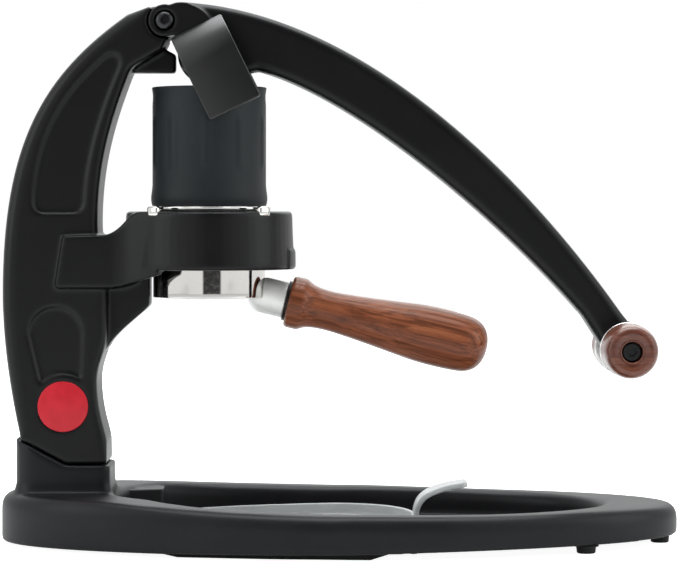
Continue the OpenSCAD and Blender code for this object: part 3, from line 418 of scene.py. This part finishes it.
def turned_grid(line, start, axis, segments=128, closed=False):
    """Surface of revolution: each [s, r] of the line is a ring of radius r, s along the axis; a closed
    line joins its last ring to its first."""
    line = evened(line)
    axis = np.array(axis, dtype=float) / np.linalg.norm(axis)
    side = np.cross(axis, [0, 1, 0] if abs(axis[1]) < 0.9 else [0, 0, 1])
    side /= np.linalg.norm(side)
    other = np.cross(axis, side)
    turn = np.linspace(0, 2 * np.pi, segments, endpoint=False)[:, None]
    ring = np.cos(turn) * side + np.sin(turn) * other
    points = np.array(start) + line[:, 0, None, None] * axis + line[:, 1, None, None] * ring
    return points, closed, True


def smooth_step(v):
    """0 below 0, 1 above 1, and an even S between."""
    v = np.clip(v, 0, 1)
    return v * v * (3 - 2 * v)


def cubic(a, b, c, d, steps):
    """A cubic curve from a to d with handles b and c."""
    t = np.linspace(0, 1, steps + 1)[:, None]
    a, b, c, d = (np.array(p, dtype=float) for p in (a, b, c, d))
    return a * (1 - t) ** 3 + 3 * b * t * (1 - t) ** 2 + 3 * c * t * t * (1 - t) + d * t ** 3


def powered(wave, power):
    """A sine or cosine raised to a power with its sign kept: a low power squares a round off."""
    return np.sign(wave) * np.abs(wave) ** power


def strap_grid(path, across, width, thick, edge, tip):
    """A flat strap: a rectangle with round corners carried along a path, its width along the unit
    vector across. The edge radius rounds its long edges and both ends, and tip rounds the corners of
    its plan."""
    path = np.array(path, dtype=float)
    across = np.array(across, dtype=float)
    steps = np.linalg.norm(np.diff(path, axis=0), axis=1)
    run = np.concatenate([[0], np.cumsum(steps)])
    near = edge * (1 - np.cos(QUARTER))
    inner = np.linspace(edge, run[-1] - edge, 90)[1:-1]
    s = np.concatenate([[0], near, inner, run[-1] - near[::-1], [run[-1]]])
    end = edge * (1 - np.sin(QUARTER))
    inset = np.concatenate([[edge], end, 0 * inner, end[::-1], [edge]])
    short = np.clip(1 - np.minimum(s, run[-1] - s) / tip, 0, 1)
    half_w = width / 2 - tip * (1 - np.sqrt(1 - short ** 2)) - inset
    half_t = thick / 2 - inset
    half_w[[0, -1]] = 0
    half_t[[0, -1]] = 0
    place = np.stack([np.interp(s, run, path[:, k]) for k in range(3)], axis=1)
    ahead = np.gradient(path, run, axis=0)
    ahead = np.stack([np.interp(s, run, ahead[:, k]) for k in range(3)], axis=1)
    normal = np.cross(across, ahead)
    normal /= np.linalg.norm(normal, axis=1)[:, None]
    corner = np.concatenate([QUARTER + quarter * np.pi / 2 for quarter in range(4)])
    side_w = np.repeat([1, -1, -1, 1], len(QUARTER))
    side_t = np.repeat([1, 1, -1, -1], len(QUARTER))
    round_w = np.minimum(edge, half_w)[:, None]
    round_t = np.minimum(edge, half_t)[:, None]
    u = side_w * (half_w[:, None] - round_w) + np.cos(corner) * round_w
    v = side_t * (half_t[:, None] - round_t) + np.sin(corner) * round_t
    return place[:, None] + u[..., None] * across + v[..., None] * normal[:, None], False, True


def oval_grid(line, centre, half_l, half_w, columns=192):
    """An oval dish: each [inset, z] of the line is an oval drawn in by the inset at that height, with
    full ends, and sides that draw together towards the rear."""
    turn = np.linspace(0, 2 * np.pi, columns, endpoint=False)
    inset, z = line[:, 0, None], line[:, 1, None]
    x = centre + (half_l - inset) * powered(np.cos(turn), 2 / TRAY_POWER)
    behind = -x / TRAY_TAPER_L
    taper = TRAY_TAPER * (behind + np.sqrt(behind ** 2 + TRAY_TAPER_BLEND)) / 2
    y = (half_w - inset) * np.sin(turn) * (1 - taper)
    return np.stack([x, y, z + 0 * turn], axis=-1), False, True


def soft_casting(name, node, voxel, passes):
    """A merged copy of a CAD casting in even voxels, relaxed so that its edges and joins are soft."""
    mesh = frame["nodes"][node].data.copy()
    mesh.materials.clear()
    thing = finished(name + "_source", mesh)
    even = thing.modifiers.new("even", "REMESH")
    even.mode = "VOXEL"
    even.voxel_size = voxel * MM
    relax = thing.modifiers.new("relax", "SMOOTH")
    relax.factor = 0.5
    relax.iterations = passes
    soft = bpy.data.meshes.new_from_object(thing.evaluated_get(bpy.context.evaluated_depsgraph_get()))
    bpy.data.objects.remove(thing)
    soft.name = name
    soft.shade_smooth()
    cast = bpy.data.objects.new(name, soft)
    bpy.context.collection.objects.link(cast)
    return cast


def fit(piece, body, slot, finish, *nodes):
    """Gives a piece its finish and its body, and hides the CAD nodes that it stands for; the slot is not
    used.
    """
    piece.data.materials.clear()
    piece.data.materials.append(finish)
    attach(piece, body)
    if nodes:
        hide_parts(*nodes)


# Finishes

WALNUT = ((0.1, 0.026, 0.0098), (0.275, 0.078, 0.0315), (0.43, 0.142, 0.063))
KNOB_WOOD = ((0.064, 0.0165, 0.0095), (0.15, 0.044, 0.0255), (0.228, 0.079, 0.047))
handle_middle = node_box("handle_stud").mean(axis=0)
base_coat = powder_coat("base_powder_coat", (0.0072, 0.0073, 0.0088), (0.0126, 0.0128, 0.0151),
                        roughness=0.45, gloss=0.15, clear=0.1)
post_coat = powder_coat("post_powder_coat", (0.0021, 0.002, 0.0025), (0.004, 0.0039, 0.0047),
                        roughness=0.41, gloss=0.18, clear=0.12)
yoke_coat = powder_coat("yoke_paint", (0.0028, 0.0029, 0.0034), (0.0052, 0.0054, 0.0061),
                        roughness=0.33, gloss=0.6, clear=0.1)
chrome = polished_chrome("polished_chrome", (0.66, 0.65, 0.625), (0.7, 0.69, 0.665),
                         ripple=0.02, roughness=0.045)
# Painted reflection: the neck's chrome is paler than the cup's, its extra lightness standing in for
# bright surroundings reflected in the plating; its rougher ripple is a surface finish
neck_chrome_painted_reflection = polished_chrome("neck_painted_reflection", (0.86, 0.86, 0.85), (0.95, 0.94, 0.92),
                              ripple=0.2, roughness=0.62, metallic=0.8)
handle_wood = turned_wood("walnut_handle", handle_middle, HANDLE_TILT, WALNUT,
                          roughness=0.36, clear=0.2)
knob_wood = turned_wood("knob_wood", (GRIP_X, 0, GRIP_Z), 0.0, KNOB_WOOD, roughness=0.32, clear=0.5)
silicone = matt_silicone("sleeve_silicone", (0.0088, 0.0118, 0.0142), (0.0134, 0.0176, 0.0206))
tray_plastic = frosted_plastic("frosted_tray", (0.78, 0.8, 0.805), (0.84, 0.855, 0.86))
badge_enamel = red_enamel("badge_enamel", (0.68, 0.013, 0.028), (0.76, 0.019, 0.036))
plain_steel = worked_metal("plain_steel", (0.42, 0.42, 0.43), (0.55, 0.55, 0.56), roughness=0.25)
stainless = worked_metal("turned_stainless", (0.52, 0.52, 0.52), (0.64, 0.64, 0.64), roughness=0.2)
bright_metal = worked_metal("bright_ring", (0.62, 0.61, 0.6), (0.72, 0.71, 0.7), roughness=0.14)
bronze = worked_metal("sintered_bronze", (0.4, 0.25, 0.1), (0.5, 0.33, 0.15), roughness=0.35)
head_steel = worked_metal("screw_head_steel", (0.034, 0.034, 0.037),
                          (0.048, 0.048, 0.052), roughness=0.26)
black_oxide = worked_metal("black_oxide", (0.007, 0.0072, 0.0082),
                           (0.012, 0.0122, 0.0135), roughness=0.22, metallic=0.4)
foot_rubber = dull_polymer("foot_rubber", (0.008, 0.008, 0.008), (0.014, 0.014, 0.014), roughness=0.6)
gasket_rubber = dull_polymer("gasket_rubber", (0.2, 0.03, 0.025), (0.28, 0.045, 0.035), roughness=0.5)
dark_collar = dull_polymer("dark_collar", (0.009, 0.006, 0.005), (0.016, 0.01, 0.008), roughness=0.4)
cap_plastic = dull_polymer("cap_plastic", (0.008, 0.008, 0.0085), (0.014, 0.014, 0.0145), roughness=0.45)

# CAD nodes that are shown as they are
CARRIED = {
    "base_feet": foot_rubber, "post_screws": black_oxide, "pivot_bushing": bronze,
    "pivot_shaft": plain_steel, "grip_bolt": black_oxide, "grip_screws": black_oxide,
    "yoke_pin": plain_steel, "handle_ferrule": dark_collar, "handle_stud": plain_steel,
    "filter_basket": stainless, "shower_screen": stainless, "brew_cylinder": stainless,
    "cylinder_gasket": gasket_rubber, "piston": stainless, "piston_o_rings": foot_rubber,
    "piston_stem": stainless, "stem_cap": cap_plastic,
}
for node, finish in CARRIED.items():
    for slot in frame["nodes"][node].material_slots:
        slot.material = finish

# Castings
base = soft_casting("base", "base_casting", voxel=1.05, passes=10)
fit(base, "stand", "base_paint", base_coat, "base_casting")


def shelf_shoulder():
    """A straight sloping shoulder along the far side of the shelf: its cross-section, with a rounded top
    edge, is carried along a line that draws in towards the socket, between two flat ends."""
    near, far = SHELF_X
    foot, brow, back = SHELF_Y
    low, top = SHELF_Z
    section = evened(rounded([[foot, low, 0], [brow, top, 1.6], [back, top, 0.5], [back, low, 0.5],
                              [foot + CLOSE, low, 0]]))
    straight = np.linspace(near, far - SHELF_ROUND, 24)
    run = np.concatenate([[near], straight, far - SHELF_ROUND * (1 - np.sin(QUARTER)), [far]])
    scale = np.concatenate([[0], np.ones_like(straight), 1 - SHELF_DRAW * (1 - np.cos(QUARTER)), [0]])
    middle = np.array([(brow + back) / 2, (low + top) / 2])
    yz = middle + (section - middle) * scale[:, None, None]
    x = run[:, None] + 0 * section[:, 0]
    yz[..., 0] += (x - far) * math.tan(SHELF_TURN)
    return surface("shelf_shoulder", (np.concatenate([x[..., None], yz], axis=-1), False, True))


fit(shelf_shoulder(), "stand", "base_paint", base_coat)
post = soft_casting("post", "post_casting", voxel=0.8, passes=6)
fit(post, "stand", "black_paint", post_coat, "post_casting")
lever = soft_casting("lever", "lever_casting", voxel=0.7, passes=8)
fit(lever, "lever", "black_paint", post_coat, "lever_casting")


def yoke_cheek(name, node, side):
    """A bent strap: flat beside the sleeve, its top carried in on an arc, with a hub for the pin."""
    out = np.abs(node_box(node)[:, 1]).max()
    right = np.array([math.cos(YOKE_TILT), 0, math.sin(YOKE_TILT)])
    up = np.array([-math.sin(YOKE_TILT), 0, math.cos(YOKE_TILT)])
    bend = CHEEK_ABOVE_PIN - CHEEK_BEND_L
    bend_r = CHEEK_BEND_L / math.sin(CHEEK_BEND)
    flat = np.linspace(CHEEK_ABOVE_PIN - CHEEK_L, bend, 40)[:-1]
    turn = np.linspace(0, CHEEK_BEND, 60)
    away = np.concatenate([0 * flat + out - CHEEK_T / 2,
                           out - bend_r + (bend_r - CHEEK_T / 2) * np.cos(turn)])
    high = np.concatenate([flat, bend + (bend_r - CHEEK_T / 2) * np.sin(turn)])
    path = NOSE + CHEEK_SHIFT * right + high[:, None] * up + side * away[:, None] * np.array([0, 1, 0])
    hub_l = out - CHEEK_T - HUB_SHORT - HUB_IN
    hub = rounded([[0, 0, 0], [0, HUB_R, HUB_EDGE], [hub_l, HUB_R, HUB_EDGE], [hub_l, 0, 0]])
    return surface(name, strap_grid(path, right, CHEEK_W, CHEEK_T, CHEEK_EDGE, CHEEK_TIP),
                   turned_grid(hub, NOSE + np.array([0, side * HUB_IN, 0]), [0, side, 0], 64))


for side, hand in HANDS:
    node = hand + "_yoke_cheek"
    fit(yoke_cheek(hand + "_cheek", node, side), "yoke", "yoke_paint", yoke_coat, node)


def sleeve():
    """A tube about the brew axis with a flared foot that tucks in, a slight waist under its top lip and
    round grip ribs that fade out above and below."""
    (_, _, low), (_, _, high) = node_box("silicone_sleeve")
    outside = np.linspace(low + SLEEVE_FOOT_ROUND, high - SLEEVE_TOP_ROUND, 90)
    above, below = outside - low, high - outside
    flare = smooth_step((SLEEVE_FLARE_TOP - above) / SLEEVE_FLARE_H)
    tuck = np.clip(1 - above / SLEEVE_TUCK_H, 0, 1) ** 2
    lip = smooth_step((SLEEVE_LIP_H - below) / SLEEVE_LIP_H)
    waist = smooth_step((SLEEVE_WAIST_H - below) / SLEEVE_LIP_H) * (1 - lip)
    r = SLEEVE_R + SLEEVE_FLARE * flare - SLEEVE_TUCK * tuck - SLEEVE_WAIST * waist + SLEEVE_LIP * lip
    ribbed = smooth_step((above - RIB_ABOVE_FOOT) / RIB_FADE)
    ribbed *= smooth_step((below - RIB_BELOW_TOP) / RIB_FADE)
    grow, fade = 1 - np.cos(QUARTER), 1 - np.sin(QUARTER)
    z = np.concatenate([[low], low + SLEEVE_FOOT_ROUND * grow, outside, high - SLEEVE_TOP_ROUND * fade,
                        [high]])
    r = np.concatenate([[SLEEVE_BORE], r[0] - SLEEVE_FOOT_ROUND * fade, r,
                        SLEEVE_R + SLEEVE_LIP - SLEEVE_TOP_ROUND * grow, [SLEEVE_BORE]])
    ribbed = np.concatenate([[0], 0 * QUARTER, ribbed, 0 * QUARTER, [0]])
    around = np.linspace(0, 2 * np.pi, 360, endpoint=False)
    rib = np.clip(-np.cos(RIB_COUNT * around), 0, 1) ** 3
    radius = r[:, None] + RIB_RISE * ribbed[:, None] * rib
    x, y = BREW_X + radius * np.cos(around), radius * np.sin(around)
    return surface("sleeve", (np.stack([x, y, z[:, None] + 0 * around], axis=-1), True, True))


fit(sleeve(), "brew_head", "sleeve_silicone", silicone, "silicone_sleeve")


def portafilter():
    """A polished cup about the brew axis, open above and below, with a flange that narrows downwards."""
    (_, _, low), (_, _, high) = node_box("portafilter_body")
    flange_r, lip_r = node_radius("portafilter_body"), CUP_BORE - CUP_LIP_W
    seat, lip = high - FLANGE_T, low + CUP_LIP
    line = rounded([[lip, lip_r, 0], [low, lip_r, 0.3], [low, CUP_R, 0.45], [seat, CUP_R, 0.2],
                    [seat, flange_r - FLANGE_DRAFT, 0.4], [high, flange_r, 0.5], [high, CUP_BORE, 0.4],
                    [lip, CUP_BORE, 0.3], [lip, lip_r + CLOSE, 0]], 8)
    return surface("portafilter", turned_grid(line, [BREW_X, 0, 0], [0, 0, 1], 256, True))


fit(portafilter(), "brew_head", "chrome", chrome, "portafilter_body")


def rim_lugs():
    """Two polished lugs in the ring's near rim: blocks with soft edges, which are ellipsoids whose sines
    and cosines are raised to a low power, with their long axis along the rim."""
    polar = np.linspace(0, np.pi, 25)[:, None]
    around = np.linspace(0, 2 * np.pi, 48, endpoint=False)[None]
    girth = powered(np.sin(polar), LUG_POWER)
    half_out, half_along, half_up = LUG_HALF
    out = half_out * girth * powered(np.cos(around), LUG_POWER)
    along = half_along * girth * powered(np.sin(around), LUG_POWER)
    up = half_up * powered(np.cos(polar), LUG_POWER) + 0 * around
    grids = []
    for turn in LUG_TURNS:
        radial = np.array([math.cos(turn), math.sin(turn)])
        tangent = np.array([-math.sin(turn), math.cos(turn)])
        flat = (LUG_R + out)[..., None] * radial + along[..., None] * tangent + [BREW_X, 0]
        grids.append((np.concatenate([flat, (LUG_Z + up)[..., None]], axis=-1), False, True))
    return surface("rim_lugs", *grids)


fit(rim_lugs(), "stand", "chrome", chrome)
neck = soft_casting("neck", "portafilter_neck", voxel=0.4, passes=3)
# The neck takes the paler chrome, whose lightness is a painted reflection
fit(neck, "brew_head", "chrome", neck_chrome_painted_reflection, "portafilter_neck")


def wooden_handle():
    """A turned handle on its tilted axis: a rounded collar, a waist and a full palm end."""
    axis = np.array([math.cos(HANDLE_TILT), 0, -math.sin(HANDLE_TILT)])
    start = node_box("handle_ferrule").mean(axis=0) + FERRULE_T / 2 * axis
    collar, waist = HANDLE_R - 1.35, HANDLE_R - 4.2
    line = np.concatenate([
        rounded([[0, 0, 0], [0, collar, 2.2], [6.6, collar, 1.6], [8.2, collar - 0.9, 0]], 8)[:-1],
        cubic([8.2, collar - 0.9], [10.8, waist + 0.4], [14.5, waist - 0.4], [23, waist], 24)[:-1],
        cubic([23, waist], [33, waist + 0.6], [47, HANDLE_R - 2], [59, HANDLE_R - 0.6], 24)[:-1],
        cubic([59, HANDLE_R - 0.6], [68, HANDLE_R + 0.5], [HANDLE_L - 18, HANDLE_R + 0.3],
              [HANDLE_L - 12, HANDLE_R - 0.2], 16)[:-1],
        cubic([HANDLE_L - 12, HANDLE_R - 0.2], [HANDLE_L - 3.4, HANDLE_R - 0.8], [HANDLE_L, 7.4],
              [HANDLE_L, 0], 24)])
    return surface("handle", turned_grid(line, start, axis))


fit(wooden_handle(), "brew_head", "handle_wood", handle_wood, "wooden_handle")


def grip_knob(name, node, side):
    """A turned knob: a side that rolls over to a round crest, a face that dips from it, a bead round the
    recess for its screw, and the recess."""
    low, high = node_box(node)
    r, length = node_radius(node), high[1] - low[1]
    roll, dip, floor_s = length - KNOB_ROUND, length - KNOB_DIP, length - KNOB_RECESS
    crest, bead = (r + KNOB_RECESS_R) / 2, KNOB_RECESS_R + 2.5 * KNOB_BEAD
    bead_s, brim = dip + 2 * KNOB_BEAD, dip - 0.2
    line = np.concatenate([
        rounded([[0, 0, 0], [0, r, 1.4], [roll, r, 0]], 8)[:-1],
        cubic([roll, r], [roll + 0.65 * KNOB_ROUND, r], [length, r - 0.8], [length, crest], 24)[:-1],
        cubic([length, crest], [length, crest - 1], [dip, bead + 0.6], [dip, bead], 10)[:-1],
        cubic([dip, bead], [bead_s, bead - 0.1], [bead_s, KNOB_RECESS_R],
              [brim, KNOB_RECESS_R], 10)[:-1],
        rounded([[brim, KNOB_RECESS_R, 0], [floor_s, KNOB_RECESS_R, 0.3], [floor_s, 0, 0]])])
    inner = low[1] if side > 0 else high[1]
    return surface(name, turned_grid(line, [GRIP_X, inner, GRIP_Z], [0, side, 0]))


for side, hand in HANDS:
    node = hand + "_grip_knob"
    fit(grip_knob(hand + "_knob", node, side), "lever", "knob_wood", knob_wood, node)


def grip_collars():
    """Two bright turned rings between the lever's end and the knobs, standing a little proud of them."""
    r, bore = node_radius("left_grip_knob") + COLLAR_PROUD, node_radius("grip_bolt")
    inner = node_box("grip_rings")[1][1] - COLLAR_T
    line = rounded([[0, bore, 0], [0, r, 0.6], [COLLAR_T, r, 0.6], [COLLAR_T, bore, 0.2],
                    [0, bore + CLOSE, 0]])
    grids = [turned_grid(line, [GRIP_X, side * inner, GRIP_Z], [0, side, 0], closed=True)
             for side, _ in HANDS]
    return surface("grip_collars", *grids)


fit(grip_collars(), "lever", "bright_ring", bright_metal, "grip_rings")


def button_heads():
    """Two domed screw heads on the pivot, each with a hexagonal socket: round rings about the pivot for
    the head, and six-sided ones for the socket."""
    low, high = node_box("pivot_screws")
    r, out = (high[2] - low[2]) / 2 - HEAD_ROOM, high[1]
    turn = np.linspace(0, 2 * np.pi, 96, endpoint=False)
    six = 1 / np.cos((turn + np.pi / 6) % (np.pi / 3) - np.pi / 6)
    share = np.linspace(0, 1, 12)
    dome_r = r + (HEX_FLAT * HEX_RIM - r) * share
    dome_s = HEAD_H * (1 - (1 - HEAD_EDGE) * (1 - share) ** 2)
    s = np.concatenate([[0, 0], dome_s, [HEAD_H, HEAD_H - HEX_DEEP, HEAD_H - HEX_DEEP]])
    radius = np.concatenate([[0, r], dome_r, [HEX_FLAT, HEX_FLAT, 0]])[:, None] * np.ones_like(turn)
    radius[-3:] *= six
    x, z = PIVOT[0] + radius * np.cos(turn), PIVOT[2] + radius * np.sin(turn)
    y = (out - HEAD_H + s)[:, None] + 0 * turn
    grids = [(np.stack([x, side * y, z], axis=-1), False, True) for side, _ in HANDS]
    return surface("pivot_heads", *grids)


fit(button_heads(), "lever", "dark_steel", head_steel, "pivot_screws")


def drip_tray():
    """A shallow oval dish with a rounded rim, and a tab that curves up from its front and over."""
    (rear, side, low), _ = node_box("drip_tray")
    half_l, half_w = TRAY_L / 2, -side
    top = low + TRAY_H
    line = rounded([[half_w, low, 0], [0, low, 2], [0, top, 0.85], [TRAY_WALL, top, 0.85],
                    [TRAY_WALL, low + TRAY_FLOOR, 2.4], [half_w, low + TRAY_FLOOR, 0]], 8)
    start = np.array([rear + TRAY_L - TAB_SET * TRAY_WALL, 0, low + TAB_FOOT])
    reach, rise = np.array([TAB_REACH, 0, 0]), np.array([0, 0, TAB_RISE])
    path = cubic(start, start - 0.02 * reach + 0.63 * rise, start + 0.16 * reach + 0.85 * rise,
                 start + reach + rise, 60)
    ahead = np.gradient(path, axis=0)
    below = np.stack([ahead[:, 2], 0 * ahead[:, 0], -ahead[:, 0]], axis=1)
    path += below / np.linalg.norm(below, axis=1)[:, None] * TAB_T / 2
    return surface("tray", oval_grid(line, rear + half_l, half_l, half_w),
                   strap_grid(path, [0, 1, 0], TAB_W, TAB_T, TAB_EDGE, TAB_TIP))


fit(drip_tray(), "tray", "tray_plastic", tray_plastic, "drip_tray")


def badge():
    """A bare domed disc on the near face of the post."""
    low, high = node_box("badge_disc")
    x, _, z = (low + high) / 2
    r, thick = node_radius("badge_disc"), high[1] - low[1]
    share = np.linspace(BADGE_EDGE, 0, 24)
    dome = np.stack([thick + BADGE_DOME * (1 - share ** 2), r * share], axis=1)
    rim = rounded([[0, 0, 0], [0, r, 0], [thick, r, 0.5], [*dome[0], 0]])
    return surface("badge", turned_grid(np.concatenate([rim, dome[1:]]), [x, high[1], z], [0, -1, 0]))


fit(badge(), "stand", "badge_red", badge_enamel, "badge_disc")

# Studio: white to the camera, to mirrors and through glass, with a dark strip in front of the maker

AMBIENT = 0.28
TABLE_HALF, TABLE_WHITE, TABLE_GLOSSY = 3000.0, 0.94, 0.4
STRIP_DARK, STRIP_X, STRIP_SIDE, STRIP_AHEAD = 0.96, 0.13, (0.27, 0.35), (0.05, 0.4)
LAMP_WHITE = (0.96, 1.0, 1.0)


def studio_world():
    """White backdrop for camera, glossy and transmitted rays, dimmer for diffuse light; glossy rays
    find it darker in a tall strip straight in front, where the camera stands."""
    world = bpy.data.worlds.new("studio")
    world.use_nodes = True
    bpy.context.scene.world = world
    light = Shader(world.node_tree)
    direction = light.node("ShaderNodeTexCoord", out="Generated")
    x = light.node("ShaderNodeSeparateXYZ", None, {0: direction}, 0)
    y = light.node("ShaderNodeSeparateXYZ", None, {0: direction}, 1)
    seen = light.ray("Camera").top(light.ray("Transmission"))
    glossy = light.ray("Glossy")
    ahead = (0 - y).ramp(*STRIP_AHEAD)
    strip = (x - STRIP_X).size().ramp(*STRIP_SIDE, 1.0, 0.0) * ahead
    unseen = 1 - seen.top(glossy)
    strength = seen.top(glossy * (1 - strip * STRIP_DARK)).top(unseen * AMBIENT)
    background = world.node_tree.nodes["Background"]
    light.feed(background.inputs["Color"], (1, 1, 1))
    light.feed(background.inputs["Strength"], strength)


def floor():
    """A wide table that is white to the camera and still takes the maker's shadow."""
    ends = np.array([-TABLE_HALF, TABLE_HALF])
    x, y = np.meshgrid(ends, ends, indexing="ij")
    table = surface("table", (np.stack([x, y, 0 * x], axis=-1), False, False))
    paper = Finish("white_table", roughness=0.7, specular_ior_level=0.1)
    tone = paper.noise(paper.place, 3, 2)
    paper.set("Base Color", paper.blend(tone, (0.8, 0.8, 0.8), (0.82, 0.82, 0.82)))
    seen = paper.ray("Camera").top(paper.ray("Transmission")).top(paper.ray("Glossy") * TABLE_GLOSSY)
    paper.set("Emission Color", paper.blend(seen, (0, 0, 0), (1, 1, 1)))
    paper.set("Emission Strength", TABLE_WHITE)
    table.data.materials.append(paper.material)


def softbox(name, place, aim, size, power):
    """An area lamp at a place in metres, facing another."""
    lamp = bpy.data.lights.new(name, "AREA")
    lamp.shape = "RECTANGLE"
    lamp.size, lamp.size_y = size
    lamp.energy = power
    lamp.color = LAMP_WHITE
    thing = bpy.data.objects.new(name, lamp)
    thing.location = place
    thing.rotation_euler = (Vector(aim) - Vector(place)).to_track_quat("-Z", "Y").to_euler()
    bpy.context.collection.objects.link(thing)


def camera():
    """The photograph's view: level with the brew head, from the front, with a lens shifted down."""
    lens = bpy.data.cameras.new("camera")
    lens.sensor_fit = "HORIZONTAL"
    lens.sensor_width = SENSOR_MM
    lens.lens = PIXELS_PER_MM * CAMERA_DISTANCE * SENSOR_MM / FRAME_W
    lens.shift_y = (HORIZON_ROW - FRAME_H / 2) / FRAME_W
    lens.clip_start = 0.05
    view = bpy.data.objects.new("camera", lens)
    view.location = (0, -CAMERA_DISTANCE * MM, CAMERA_HEIGHT * MM)
    view.rotation_euler = (math.pi / 2, 0, 0)
    bpy.context.collection.objects.link(view)
    bpy.context.scene.camera = view


studio_world()
floor()
softbox("top_box", (0.0, 0.1, 1.3), (0, 0, 0.1), (1.1, 0.9), 20)
softbox("back_box", (0.1, 1.1, 0.9), (0, 0, 0.15), (1.8, 0.8), 9)
softbox("left_box", (-1.2, -0.5, 0.6), (0, 0, 0.12), (0.7, 1.0), 4)
softbox("right_box", (1.3, -0.3, 0.6), (0, 0, 0.12), (0.7, 1.0), 5)
camera()
bpy.context.scene.view_settings.view_transform = "Standard"
